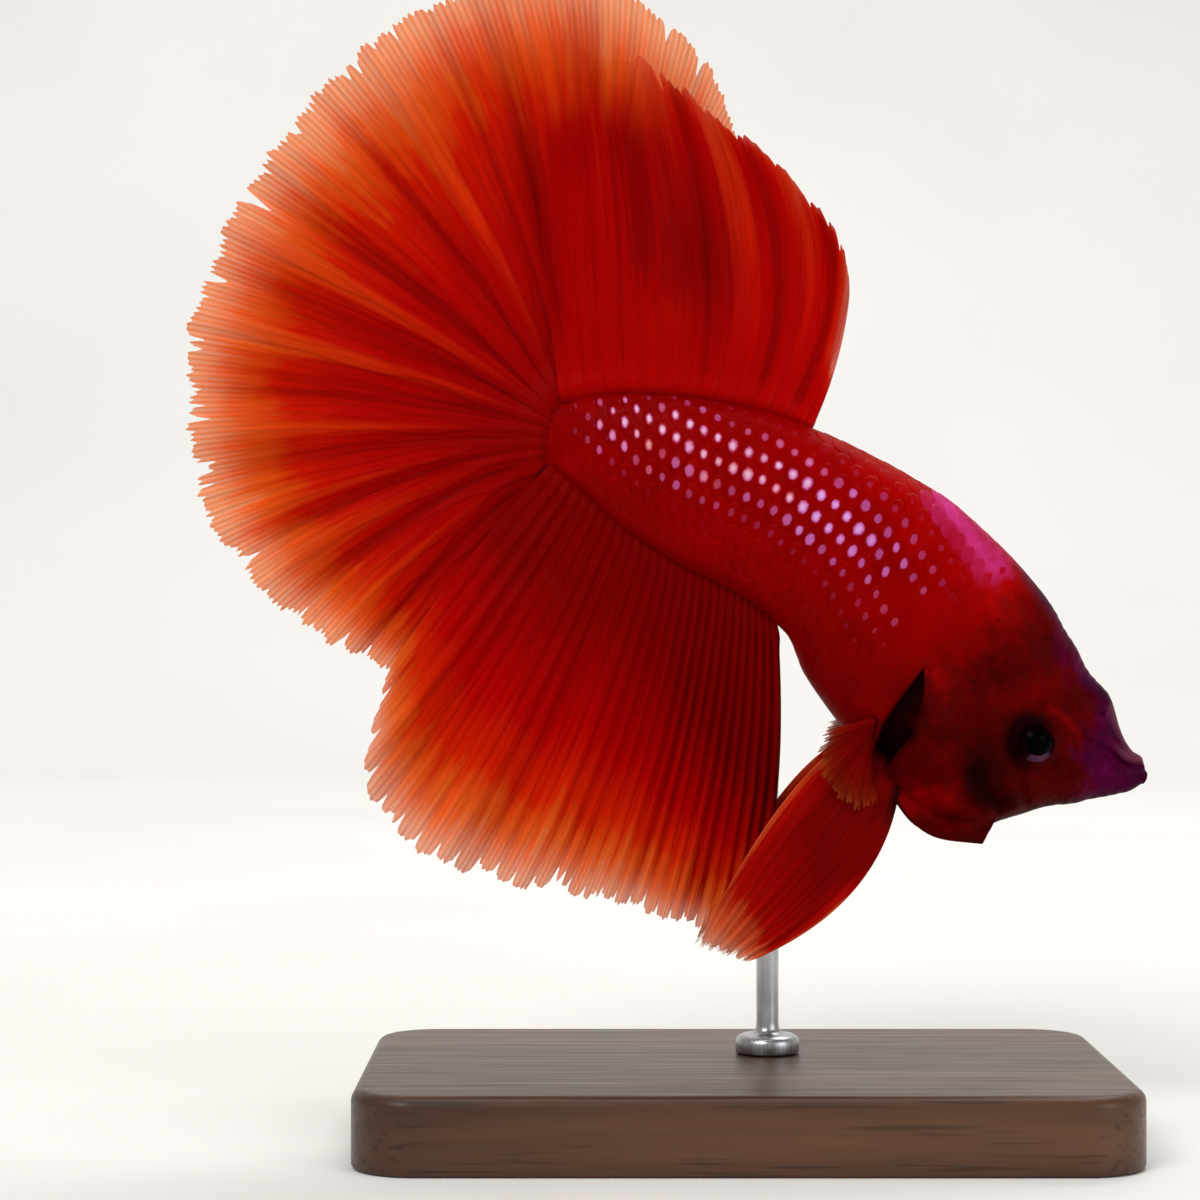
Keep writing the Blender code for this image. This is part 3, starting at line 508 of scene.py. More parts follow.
def skin_material(name, scaled=False):
    """Skin and scales alike: values dark, purple, magenta, bright, rose, spot, lx and ly (place in the scale)."""
    n = Nodes(name)
    where = n.place()
    dark, purple, magenta, bright, spot, lx, ly, rose = (n.value(k) for k in ("dark", "purple", "magenta", "bright", "spot", "lx", "ly", "rose"))
    blotch = n.noise(where, 0.32, 4.0, 0.6)
    speckle = n.noise(where, 2.6, 3.0)
    colour = n.ramp(n.math("ADD", bright, n.math("MULTIPLY", n.math("SUBTRACT", blotch, 0.5), 0.5)),
                    (0.0, srgb(90, 0, 0)), (0.3, srgb(112, 0, 0)), (0.6, srgb(140, 0, 0)), (1.0, srgb(172, 2, 0)))
    head = n.ramp(n.math("ADD", n.math("MULTIPLY", blotch, 0.7), n.math("MULTIPLY", speckle, 0.3)), (0.3, srgb(42, 0, 0)), (0.48, srgb(69, 0, 0)), (0.68, srgb(98, 0, 0)))
    colour = n.mix(n.spread(dark, 0.0, 1.0, 0.0, 0.95), colour, head)
    # dark above 1 goes to near black: the face's dark clouds, and the painted shade in the gill opening, round the eye,
    # under it and on the gill covers' inner sides and margins
    colour = n.mix(n.spread(dark, 1.0, 2.0), colour, srgb(17, 0, 0))
    snout = n.ramp(blotch, (0.3, srgb(42, 0, 26)), (0.55, srgb(68, 0, 42)), (0.8, srgb(98, 4, 64)))
    colour = n.mix(n.math("MULTIPLY", purple, n.spread(speckle, 0.2, 0.5, 0.75, 1.0)), colour, snout)
    colour = n.mix(n.math("MULTIPLY", magenta, n.spread(blotch, 0.3, 0.6, 0.35, 1.0)), colour, srgb(196, 50, 126))
    colour = n.mix(n.spread(purple, 1.0, 1.8, 0.0, 0.8), colour, srgb(124, 66, 84))
    # the lilac spot, taller than long, with a paler heart and a broken edge
    ragged = n.math("MULTIPLY", n.math("SUBTRACT", n.noise(where, 3.4, 2.0), 0.5), 0.55)
    far = n.math("ADD", n.math("SQRT", n.math("ADD", n.math("POWER", n.math("DIVIDE", lx, 0.40), 2.0), n.math("POWER", n.math("DIVIDE", ly, 0.54), 2.0))), ragged)
    inside = n.math("MULTIPLY", n.spread(far, 1.12, 0.72), n.spread(spot, 0.04, 0.85, 0.0, 1.0))
    inside = n.math("MAXIMUM", inside, n.value("painted"))
    heart = n.mix(n.math("MULTIPLY", n.spread(far, 0.9, 0.2), n.spread(spot, 0.42, 1.0)), n.mix(rose, srgb(200, 74, 74), srgb(190, 72, 122)), n.mix(rose, srgb(224, 168, 168), srgb(228, 194, 222)))
    shade = n.mix(n.spread(n.noise(where, 0.12, 1.0), 0.42, 0.6), heart, n.mix(0.5, heart, srgb(198, 120, 220)))
    colour = n.mix(n.math("MULTIPLY", inside, 0.95), colour, shade)
    fine = n.noise(where, 9.0, 2.0)
    colour = n.mix(1.0, colour, n.ramp(fine, (0.3, 0.9), (0.7, 1.08)), "MULTIPLY")
    rough = n.ramp(n.math("ADD", n.math("MULTIPLY", speckle, 0.6), n.math("MULTIPLY", fine, 0.4)), (0.3, 0.36), (0.7, 0.54))
    n.set(Base_Color=colour, Roughness=rough)
    n.shader.inputs["Specular IOR Level"].default_value = 0.022
    n.shader.inputs["Specular Tint"].default_value = (1.0, 0.4, 0.35, 1.0)
    n.shader.inputs["Coat Weight"].default_value = 0.005
    n.shader.inputs["Coat Roughness"].default_value = 0.12
    height = n.math("ADD", n.math("MULTIPLY", fine, 0.5), n.math("MULTIPLY", speckle, 0.7))
    n.put(n.shader.inputs["Normal"], n.bump(height, 0.35, 0.00005))
    return n.material


def eye_material():
    n = Nodes("eye")
    where = n.place()
    ring = n.value("ring")                              # 0 at the middle of the pupil, 1 at the iris's rim
    low = n.value("low")                                # 1 at the lower front of the iris
    grain = n.noise(where, 3.0, 4.0, 0.65)
    iris = n.ramp(n.math("ADD", n.math("MULTIPLY", low, 0.75), n.math("MULTIPLY", grain, 0.45)),
                  (0.3, srgb(16, 0, 1)), (0.66, srgb(30, 1, 8)), (1.0, srgb(84, 48, 72)))
    edge = n.math("ADD", ring, n.math("MULTIPLY", n.math("SUBTRACT", grain, 0.5), 0.10))
    colour = n.mix(n.spread(edge, 0.60, 0.70), (0.0006, 0.0004, 0.0006), iris)
    colour = n.mix(n.spread(edge, 0.95, 1.12), colour, srgb(18, 0, 2))
    n.set(Base_Color=colour, Roughness=n.ramp(grain, (0.3, 0.16), (0.7, 0.24)))
    n.shader.inputs["Specular IOR Level"].default_value = 0.012
    n.shader.inputs["Coat Weight"].default_value = 0.006
    n.shader.inputs["Coat Roughness"].default_value = 0.10
    return n.material


def wood_material():
    n = Nodes("dark_wood")
    grain = n.noise(n.place((26.0, 420.0, 420.0)), 0.42, 5.0, 0.62)
    pores = n.noise(n.place((70.0, 2400.0, 2400.0)), 1.0, 2.0)
    broad = n.noise(n.place((12.0, 120.0, 120.0)), 0.5, 3.0)
    at = n.math("ADD", n.math("MULTIPLY", grain, 0.6), n.math("MULTIPLY", broad, 0.4))
    colour = n.ramp(at, (0.30, srgb(38, 22, 14)), (0.48, srgb(66, 40, 25)), (0.60, srgb(88, 55, 34)), (0.75, srgb(108, 70, 44)))
    colour = n.mix(n.spread(pores, 0.56, 0.68, 0.0, 0.55), colour, srgb(26, 14, 9))
    n.set(Base_Color=colour, Roughness=n.ramp(pores, (0.3, 0.34), (0.7, 0.50)))
    n.shader.inputs["Specular IOR Level"].default_value = 0.3
    n.shader.inputs["Coat Weight"].default_value = 0.10
    n.shader.inputs["Coat Roughness"].default_value = 0.22
    n.put(n.shader.inputs["Normal"], n.bump(n.math("SUBTRACT", grain, n.math("MULTIPLY", pores, 0.7)), 0.3, 0.00008))
    return n.material


def steel_material():
    n = Nodes("brushed_steel")
    brush = n.noise(n.place((9000.0, 9000.0, 180.0)), 1.0, 3.0)
    wear = n.noise(n.place(), 0.5, 4.0)
    n.set(Base_Color=n.ramp(n.math("ADD", n.math("MULTIPLY", brush, 0.5), n.math("MULTIPLY", wear, 0.5)), (0.3, srgb(150, 150, 152)), (0.7, srgb(196, 196, 198))),
          Roughness=n.ramp(brush, (0.3, 0.24), (0.7, 0.42)))
    n.shader.inputs["Metallic"].default_value = 1.0
    n.put(n.shader.inputs["Normal"], n.bump(brush, 0.25, 0.00002))
    return n.material


# ---------------------------------------------------------------- the skin
COAT = 0.12                         # how far the skin lies inside the solids, for its scales to stand on
SKIN_END = 58.2


def hide_point(s, turn, grow=-COAT):
    """The skin's outside before its features, run out behind the tail stem into a thin edge inside the tail fin."""
    s = np.asarray(s, float)
    kept = np.minimum(s, STANDARD_LENGTH)
    c = np.cos(turn)
    nx, nz = across(kept)
    taper = 1 - 0.88 * smooth((s - 53.4 - 1.0 * (1 - c * c)) / 3.8)
    shrink = 1 - 0.12 * smooth((s - 55.0) / 2.2)
    up = np.where(c > 0, height(kept) + grow, depth(kept) + grow) * c * shrink
    wide = (half_width(kept) + grow) * taper
    y = -wide * np.sin(turn) * (1 + fullness(c) * c * c)
    run = np.maximum(s - STANDARD_LENGTH, 0.0)
    return np.stack(np.broadcast_arrays(line_x(kept) + TAIL_AXIS[0] * run + nx * up, swing(kept) + y, line_z(kept) + TAIL_AXIS[1] * run + nz * up), axis=-1)


def hide_normal(s, turn):
    ds = hide_point(s + 0.05, turn) - hide_point(s - 0.05, turn)
    dt = hide_point(s, turn + 0.01) - hide_point(s, turn - 0.01)
    return unit(np.cross(ds, dt))


EYE_Y = float(flank(*EYE_CENTRE)[0][0] + EYE_STANDS_OUT - EYE_RADIUS)
EYE_MID = float(swing(flank(*EYE_CENTRE)[1])[0])
MOUTH = ((33.6, 29.30), (32.4, 29.50), (31.4, 29.56), (30.6, 29.80), (29.9, 30.35), (29.1, 31.0), (27.9, 31.6))
NOSTRILS = ((28.55, 33.75, 0.17), (27.75, 31.75, 0.13))
CHEEK = GILL_HINGE(np.linspace(0, 1, 12))
OPENING = ((14.2, 37.0), (13.5, 35.3), (12.8, 33.8), (12.3, 32.6), (11.6, 31.0), (11.1, 29.4), (11.4, 28.0), (12.3, 26.4))     # the gill opening behind the cover
SHOULDER = ((13.7, 37.3), (12.6, 35.9), (11.6, 34.8), (10.8, 33.4), (10.2, 32.0), (10.0, 30.2), (10.3, 28.9))                    # the shoulder's edge behind it


def features(x, z, s, c, inside_cover=0.0):
    """How far the skin stands out or in, in millimetres, by its place in the side view."""
    out = np.zeros(np.shape(x))
    # eye: a socket, a raised rim heavier above, and a soft crease round it
    dx, dz = x - EYE_CENTRE[0], z - EYE_CENTRE[1]
    r = np.hypot(dx, dz)
    above = smooth((dz / np.maximum(r, 1e-6) + 0.5) / 1.5)
    out -= 1.0 * (1 - smooth((r - 1.08) / 0.26))
    out += (0.19 + 0.13 * above) * bell(r - 1.52, 0.32)
    out -= 0.10 * bell(r - 2.40, 0.30)
    out += 0.07 * bell(r - 2.95, 0.35) * (1 - above)
    # mouth: a slit with a rounded lip on each side, the lower one fuller
    d, share = to_polyline(x, z, MOUTH)
    over = z - np.interp(x, [p[0] for p in MOUTH[::-1]], [p[1] for p in MOUTH[::-1]])
    open_ = 1 - smooth((share - 0.45) / 0.55)
    out -= (0.08 + 0.24 * open_) * bell(d, 0.13) * (1 - smooth((share - 0.92) / 0.08))
    out += 0.15 * bell(d - 0.40, 0.26) * np.where(over > 0, 1.0, 1.1) * (1 - smooth((share - 0.7) / 0.3))
    out -= 0.08 * bell(d - 1.0, 0.22) * (x < 32.4) * np.where(over > 0, 1.0, 0.25) * (1 - smooth((share - 0.7) / 0.3))
    out -= 0.07 * bell(to_polyline(x, z, ((28.6, 31.0), (28.2, 30.2), (28.1, 29.0)))[0], 0.25)
    # the ridge from the brow's front round the eye to the lip
    out += 0.09 * bell(to_polyline(x, z, ((23.6, 34.0), (25.0, 33.7), (26.2, 32.9), (27.0, 31.9)))[0], 0.24)
    for nx, nz, size in NOSTRILS:
        r = np.hypot(x - nx, z - nz)
        out += 0.08 * bell(r - size * 1.9, size * 0.8) - 0.26 * bell(r, size)
    # cheek: the bones under the skin
    d, share = to_polyline(x, z, CHEEK + np.array((0.9, 0.15)))
    out += 0.10 * bell(d, 0.55) - 0.10 * bell(to_polyline(x, z, CHEEK + np.array((1.9, 0.2)))[0], 0.35)
    out -= 0.07 * bell(to_polyline(x, z, ((26.4, 30.6), (25.1, 29.4), (23.3, 28.9), (21.6, 29.6)))[0], 0.22)
    out -= 0.05 * bell(to_polyline(x, z, ((21.2, 33.6), (19.6, 35.6), (18.6, 37.4)))[0], 0.25)
    out += 0.05 * soft_noise(x, z, 3.2, 3) * smooth((20 - s) / 6) + 0.02 * soft_noise(x, z, 1.1, 4) * smooth((20 - s) / 6)
    # the gill opening: a deep recess between the cover's edge and the shoulder
    out -= 0.95 * gill_gap(x, z)
    out += 0.14 * bell(to_polyline(x, z, SHOULDER)[0], 0.45)
    return out


def gill_gap(x, z):
    """1 in the gill opening's deepest part and 0 outside it: a wedge, widest a little below its middle."""
    d, share = to_polyline(x, z, OPENING)
    wide = np.interp(share, (0, 0.22, 0.43, 0.6, 0.8, 1.0), (0.35, 0.95, 1.40, 1.15, 0.7, 0.45))
    return 1 - smooth((d / wide - 0.62) / 0.5)


def head_dark(x, z, s, c):
    """1 on the face, fading out over the nape and the shoulder."""
    edge = 0.35 * soft_noise(x, z, 2.4, 11) + 0.15 * soft_noise(x, z, 0.8, 12)
    return 1 - smooth((s - 15.0 + edge * 1.3 + 1.2 * (c < 0) * np.abs(c)) / 8.0)


BLOTCHES = ((18.4, 28.7, 1.4, 2.1, 0.62), (20.2, 26.6, 2.0, 0.9, 0.35), (18.3, 33.8, 1.1, 1.3, 0.28), (24.3, 39.9, 1.0, 1.2, 0.40), (25.4, 30.3, 1.5, 1.0, 0.25),
            (20.8, 33.6, 1.6, 0.9, 0.30), (23.2, 35.8, 1.8, 1.1, -0.22), (17.6, 32.4, 1.2, 1.3, -0.20))       # x, z, half length, half height and strength of the face's dark clouds


def marks(x, z, s, c):
    """The values that the skin's colours are made from, the same for skin and scales."""
    edge = 0.35 * soft_noise(x, z, 2.4, 11) + 0.15 * soft_noise(x, z, 0.8, 12)
    snout = 1 - smooth((s - 4.6 + edge * 1.5 + 1.7 * smooth((-c - 0.05) / 0.4)) / 2.6)
    brow = 0.75 * smooth((c - 0.56 + edge * 0.25) / 0.34) * (1 - smooth((s - 11.5 + edge * 2.0) / 3.5))
    ridge = smooth((c - 0.86 + edge * 0.06) / 0.12) * (1 - smooth((s - 17.5 + edge * 2.0) / 4.0)) * 0.85
    purple = np.clip(np.maximum(np.maximum(snout, 0.9 * brow), ridge), 0, 1)
    d = to_polyline(x, z, ((16.7, 49.9), (18.2, 47.9), (19.7, 45.8)))[0]
    magenta = (1 - smooth((d + 0.1 + edge * 1.1) / 2.5)) * smooth((c - 0.35) / 0.5) * 0.86
    dark = head_dark(x, z, s, c)
    # painted shade round the gill opening
    shade = bell(to_polyline(x, z, OPENING)[0], 2.0)
    # painted shade round the eye, deepest behind and above it
    dx, dz = x - EYE_CENTRE[0], z - EYE_CENTRE[1]
    r = np.hypot(dx, dz)
    eye_socket_shade = bell(r - 1.5, 0.95) * (0.55 + 0.45 * np.clip((-dx + dz) / np.maximum(r, 0.1) / 1.3, -1, 1))
    blotch = sum(size * bell(np.hypot((x - bx) / wide, (z - bz) / tall), 1.0) for bx, bz, wide, tall, size in BLOTCHES)
    # painted shade, near black, in the gill opening's recess, darker towards its rear side, and round the eye; blotch
    # is the face's own dark clouds
    lit_side = np.clip((x - np.interp(z, [p[1] for p in OPENING[-2::-1]], [p[0] for p in OPENING[-2::-1]])) / 1.2, -1, 1)
    dark = np.maximum(dark, 0.55 * shade) + blotch + (1.15 - 0.22 * lit_side) * smooth(gill_gap(x, z) / 0.7) + 1.15 * eye_socket_shade
    # painted shade under the eye and on the throat, redder over the temple
    dark = dark + 0.36 * smooth((-c + 0.05) / 0.5) * (1 - smooth((s - 15) / 5)) - 0.15 * smooth((c - 0.05) / 0.3) * smooth((s - 7) / 4) * (dark > 0.2)
    # painted highlight: the ridge before the eye is made redder
    dark = dark - 0.45 * bell(to_polyline(x, z, ((24.4, 34.1), (25.6, 33.3), (26.7, 32.2), (27.0, 30.9)))[0], 0.42) * (dark > 0)
    # the upper lip is paler
    d, share = to_polyline(x, z, MOUTH)
    over = z - np.interp(x, [p[0] for p in MOUTH[::-1]], [p[1] for p in MOUTH[::-1]])
    purple = purple + 0.42 * bell(d - 0.52, 0.34) * (over > 0) * (1 - smooth((share - 0.5) / 0.35)) * purple
    purple = purple + 0.42 * smooth((c - 0.55) / 0.38) * (1 - smooth((s - 8.5) / 2.5)) * smooth((s - 0.6) / 1.5) * purple
    bright = (0.50 + 0.30 * smooth((c - 0.15) / 0.7) * smooth((44 - s) / 16) + 0.04 * smooth((-c - 0.1) / 0.6) * smooth((26 - s) / 8)
              + 0.04 * smooth((-c + 0.05) / 0.75) * smooth((s - 30) / 8) - 0.16 * smooth((-c - 0.15) / 0.4) * smooth((32 - s) / 8) - 0.05 * smooth((s - 44) / 10))
    bright = bright + (0.54 - bright) * smooth((s - 49.0) / 6.5)
    rose = np.maximum(smooth((c - 0.12) / 0.28), 0.8 * smooth((40 - s) / 8))
    return {"dark": dark, "purple": purple, "magenta": magenta, "bright": bright, "rose": rose}


# ---------------------------------------------------------------- where the scales sit
ROW_PITCH, ALONG_PITCH = 1.66, 1.22
_TS = np.linspace(9.0, 56.4, 240)
_TT = np.linspace(0.0, math.pi, 240)
_grid = hide_point(_TS[:, None] + 0 * _TT, _TT[None, :] + 0 * _TS[:, None])
_arc = np.concatenate([np.zeros((len(_TS), 1)), np.cumsum(np.linalg.norm(np.diff(_grid, axis=1), axis=-1), axis=1)], axis=1)
_GIRTH = _arc[:, -1]
_LEVELS = np.linspace(0.0, 1.0, 240)
_TURN_AT = np.stack([np.interp(_LEVELS * g, row, _TT) for row, g in zip(_arc, _GIRTH)])


def turn_at(s, up_from_belly):
    """The turn of a point that lies so far up the flank from the belly line, along the skin."""
    i = np.clip((s - _TS[0]) / (_TS[1] - _TS[0]), 0, len(_TS) - 1.001)
    a, fi = i.astype(int), i - i.astype(int)
    girth = _GIRTH[a] * (1 - fi) + _GIRTH[a + 1] * fi
    j = np.clip(1 - up_from_belly / girth, 0, 1) * (len(_LEVELS) - 1)
    b = np.minimum(j.astype(int), len(_LEVELS) - 2)
    fj = j - b
    low = _TURN_AT[a, b] * (1 - fj) + _TURN_AT[a, b + 1] * fj
    high = _TURN_AT[a + 1, b] * (1 - fj) + _TURN_AT[a + 1, b + 1] * fj
    return low * (1 - fi) + high * fi, girth


def row_drop(s):
    """How far a row of scales has sunk towards the belly line on its way to the tail."""
    return 0.085 * np.maximum(s - 36.0, 0) * smooth((s - 36.0) / 6.0)


def scale_places():
    """(distance from the snout, height up the flank, row) of every scale of one flank."""
    places = []
    for row in range(18):
        count = int((56.2 - 10.0) / ALONG_PITCH)
        s = 10.0 + (np.arange(count) + 0.5 * (row % 2)) * ALONG_PITCH
        up = (row + 0.5) * ROW_PITCH - row_drop(s)
        turn, girth = turn_at(s, up)
        p = hide_point(s, turn)
        c = np.cos(turn)
        behind = to_polyline(p[:, 0], p[:, 2], OPENING)[0]
        # none on the cheek, the throat or in the gill opening, and the nape's begin above the gill cover
        front = np.where(c > 0.25, 11.5 + 3.0 * (1 - smooth((c - 0.25) / 0.5)), 18.3)
        keep = (up > 0.3) & (up < girth - 0.35) & (s > front) & (s < 54.5) & ((p[:, 0] < 12.2) | (c > 0.2)) & (behind > 2.45)
        places += [(a, b, row) for a, b in zip(s[keep], up[keep])]
    return np.array(places)


def spot_strength(s, c, row, key):
    """Lilac spots: strong along the upper flank from tail stem to shoulder, weaker towards back, belly and head."""
    high = np.interp(s, (20, 28, 36, 44, 50, 54), (0.04, 0.15, 0.30, 0.42, 0.44, 0.40))       # the middle of the bright band, by c
    across_band = bell(c - high, np.interp(s, (20, 28, 34, 40, 50), (0.50, 0.47, 0.37, 0.36, 0.42)))
    faint = (0.24 + 0.34 * smooth((s - 38) / 5)) * bell(c - high + 0.36, 0.36) * smooth((s - 24) / 5)
    along = smooth((s - 18.5) / 7.0) * (0.50 + 0.50 * smooth((s - 27) / 8)) * (1 - 0.70 * smooth((s - 50.0) / 4.0))
    return np.clip(np.maximum(across_band, faint) * along * 1.10 * (0.72 + 0.56 * key), 0, 1)


SCALE_SIZE = ((10, 18, 26, 46, 56), (0.72, 0.9, 1.0, 1.0, 0.72))      # by the distance from the snout


def painted_spots(s, turn, places):
    """The same lilac spots for the skin under the scales, at each of its points."""
    turn = np.abs((turn + math.pi) % (2 * math.pi) - math.pi)
    i = np.clip((s - _TS[0]) / (_TS[1] - _TS[0]), 0, len(_TS) - 1).astype(int)
    j = np.clip(turn / math.pi, 0, 1) * (len(_TT) - 1)
    low = j.astype(int).clip(0, len(_TT) - 2)
    arc = _arc[i, low] * (1 - (j - low)) + _arc[i, low + 1] * (j - low)
    up = _GIRTH[i] - arc
    s0, up0, row = places.T
    strength = spot_strength(s0, np.cos(turn_at(s0, up0)[0]), row, 0.5)
    painted = np.zeros(s.size)
    mid = s0 + 0.72 * np.interp(s0, *SCALE_SIZE)
    for k in np.flatnonzero(strength > 0.05):
        near = np.flatnonzero((np.abs(s - mid[k]) < 0.8) & (np.abs(up - up0[k]) < 0.9))
        far = np.hypot((s[near] - mid[k]) / 0.31, (up[near] - up0[k]) / 0.42)
        painted[near] = np.maximum(painted[near], smooth((1.2 - far) / 0.5) * strength[k])
    return painted


def build_skin(material, places):
    stations = np.r_[np.linspace(0, 6, 90, endpoint=False), np.linspace(6, 20, 120, endpoint=False), np.linspace(20, SKIN_END, 118)]
    around = 262
    turn = np.arange(around) / around * 2 * math.pi
    s, t = np.meshgrid(stations, turn, indexing="ij")
    p = hide_point(s, t)
    normal = hide_normal(s, t)
    c = np.cos(t)
    out = features(p[..., 0], p[..., 2], s, c)
    lip = smooth((s + 0.12) / 0.6) * smooth((c - 0.1) / 0.7) * (0.34 * bell(s - 0.9, 0.9) - 0.10 * bell(s - 3.5, 0.8) + 0.36 * bell(s - 5.4, 1.2))
    lip = lip + smooth((-c - 0.1) / 0.7) * 0.26 * bell(s - 0.9, 1.1)
    p = p + normal * (out * smooth((s - 0.1) / 1.7) + lip)[..., None]
    # the lips close over a round tip
    tips = 9
    mid = p[0].mean(0)
    tip = []
    for k in range(tips):
        a = (k + 1) / (tips + 0.35) * math.pi / 2
        tip.append(mid + (p[0] - mid) * math.cos(a) + np.array((0.83, 0.0, -0.50)) * 0.34 * math.sin(a))
    head = np.array(tip[::-1])
    p = np.concatenate([head, p])
    s = np.concatenate([np.zeros((tips, around)), s])
    c = np.concatenate([np.repeat(np.cos(turn)[None], tips, 0), c])
    rows = len(s)
    points = p.reshape(-1, 3)
    values = marks(points[:, 0], points[:, 2], s.ravel(), c.ravel())
    for key in ("spot", "lx", "ly"):
        values[key] = np.zeros(len(points))
    values["painted"] = painted_spots(s.ravel(), np.tile(turn, rows), places)
    faces = grid_faces(rows, around, closed=True)[:, ::-1]
    # both ends are closed by a point
    first, last = len(points), len(points) + 1
    points = np.concatenate([points, [points[:around].mean(0) + np.array((0.02, 0, -0.01))], [points[-around:].mean(0)]])
    for key in values:
        values[key] = np.r_[values[key], values[key][0], values[key][-1]]
    ring = np.arange(around)
    nxt = (ring + 1) % around
    half = np.arange(0, around, 2)
    cap_a = np.stack([np.full(len(half), first), half, (half + 1) % around, (half + 2) % around], -1)
    end = (rows - 1) * around
    cap_b = np.stack([np.full(len(half), last), end + (half + 2) % around, end + (half + 1) % around, end + half], -1)
    faces = np.concatenate([faces, cap_a, cap_b])
    # the skin's own unwrap: along the body one way and round it the other, cut along the belly
    way = (np.arange(rows) / (rows - 1))[:, None] * np.ones(around)
    spin = (((turn / (2 * math.pi)) + 0.5) % 1.0)[None, :] * np.ones((rows, 1))
    u = np.r_[way.ravel(), 0.0, 1.0] * 0.98 + 0.01
    w = np.r_[spin.ravel(), 0.5, 0.5] * 0.98 + 0.01
    fu, fw = u[faces], w[faces]
    wrap = (fw.max(1) - fw.min(1)) > 0.5
    fw = np.where(wrap[:, None] & (fw < 0.5), fw + 0.98, fw)
    fw = np.minimum(fw, 0.995)
    return mesh_piece("skin", points, faces, material, values, loop_uv=np.stack([fu, fw], -1).reshape(-1, 2))


# ---------------------------------------------------------------- scales
def build_scales(name, side, places, material, seed):
    """One flank's scales, as one mesh: each a curved plate sunk in front, with a rounded free edge that stands out."""
    n, m = 10, 9
    r = np.random.default_rng(seed)
    s0, up0, row = places.T
    count = len(places)
    turn0, girth0 = turn_at(s0, up0)
    c0 = np.cos(turn0)
    size = np.interp(s0, *SCALE_SIZE) * r.uniform(0.96, 1.04, count)
    long_, wide = 2.75 * size, 2.12 * size
    along = np.linspace(0, 1, n)[None, :, None]
    across_ = np.linspace(-1, 1, m)[None, None, :]
    # the outline: straight sides in front, a round end behind
    back = np.clip((along - 0.42) / 0.58, 0, 1)
    half = np.sqrt(np.clip(1 - back ** 2.4, 0.0, 1)) * (0.84 + 0.16 * smooth(along / 0.3))
    half = np.maximum(half, 0.02)
    lx = (along - 0.5) * long_[:, None, None] + 0 * across_
    ly = across_ * half * wide[:, None, None] / 2
    lift = (np.interp(s0, (10, 19, 26, 50, 56), (0.15, 0.35, 0.8, 0.9, 0.5)) * np.interp(c0, (-0.9, -0.5, 0.5), (0.7, 1.0, 1.0)))[:, None, None]
    high = (-0.06 + 0.145 * along ** 1.1 - 0.035 * np.abs(across_) ** 2.5 - 0.02 * smooth((along - 0.9) / 0.1)) * lift - 0.03 * (1 - lift) + 0 * ly
    high = high + r.uniform(-0.006, 0.006, count)[:, None, None]
    s, up = s0[:, None, None] + lx, up0[:, None, None] + ly
    s = np.clip(s, 9.2, 56.9) + 0.02 * (s - np.clip(s, 9.2, 56.9))          # crowded together at the ends, not folded onto a line
    most = np.interp(s, _TS, _GIRTH) - 0.02
    up = np.clip(up, 0.02, most) + 0.012 * (up - np.clip(up, 0.02, most))
    turn, girth = turn_at(s.ravel(), up.ravel())
    turn = turn * (-side)                                   # the right flank (-y) has turns from 0 to a half
    p = hide_point(s.ravel(), turn)
    normal = hide_normal(s.ravel(), turn)
    out = features(p[:, 0], p[:, 2], s.ravel(), np.cos(turn))
    top = p + normal * (out + high.ravel())[:, None]
    under = p + normal * (out + np.minimum(high.ravel() - 0.05, -0.02))[:, None]
    rim = [(i, 0) for i in range(n)] + [(n - 1, j) for j in range(1, m)] + [(i, m - 1) for i in range(n - 2, -1, -1)] + [(0, j) for j in range(m - 2, 0, -1)]
    rim = np.array([i * m + j for i, j in rim])
    nxt = np.roll(rim, -1)
    per = 2 * n * m
    points = np.concatenate([top.reshape(count, -1, 3), under.reshape(count, -1, 3)], axis=1).reshape(-1, 3)
    edge = np.stack([rim, nxt, n * m + nxt, n * m + rim], -1)
    one = np.concatenate([grid_faces(n, m), grid_faces(n, m, n * m)[:, ::-1], edge])
    if side > 0:
        one = one[:, ::-1]
    faces = (one[None] + (np.arange(count) * per)[:, None, None]).reshape(-1, 4)
    def spread(v):
        return np.repeat(v, per)
    root = hide_point(s0, turn0 * (-side))
    values = {k_: spread(v) for k_, v in marks(root[:, 0], root[:, 2], s0, c0).items()}
    key = r.uniform(0, 1, count)
    values["spot"] = spread(spot_strength(s0, c0, row, key))
    fit = (0.72 + 0.30 * r.uniform(0, 1, count)) * np.interp(s0, (20, 30, 46, 52, 55), (0.8, 1.0, 0.98, 0.72, 0.45)) * np.interp(c0, (-0.6, 0.0, 0.5, 0.9), (0.6, 1.0, 1.0, 0.7))
    fit = fit * np.interp(values["spot"].reshape(count, per)[:, 0], (0, 0.5, 1), (0.72, 0.95, 1.04))
    def local(values_, shift):
        grid = (values_ - shift) / fit[:, None, None]
        return np.tile(grid.reshape(count, -1), (1, 2)).ravel()
    values["lx"] = local(lx, 0.72 * size[:, None, None] + r.uniform(-0.06, 0.06, count)[:, None, None])
    values["ly"] = local(ly, r.uniform(-0.08, 0.08, count)[:, None, None])
    values["painted"] = np.zeros(count * per)
    # OFBake: a patch for each scale at its root's place on an unwrap of the flank
    patch = 0.0062
    u0 = 0.01 + 0.97 * (s0 - 9.0) / 47.6
    w0 = 0.012 + 0.97 * (row + 0.5) / 18.2
    pu = u0[:, None, None] + (along - 0.5) * patch * 2.0 + 0 * across_
    pw = w0[:, None, None] + across_ * patch * 2.0 + 0 * along
    pu, pw = np.broadcast_arrays(pu, pw)
    flat = np.stack([pu, pw], -1)
    uv = np.tile(flat.reshape(count, -1, 2), (1, 2, 1)).reshape(-1, 2)
    return mesh_piece(name, points, faces, material, values, uv=uv)


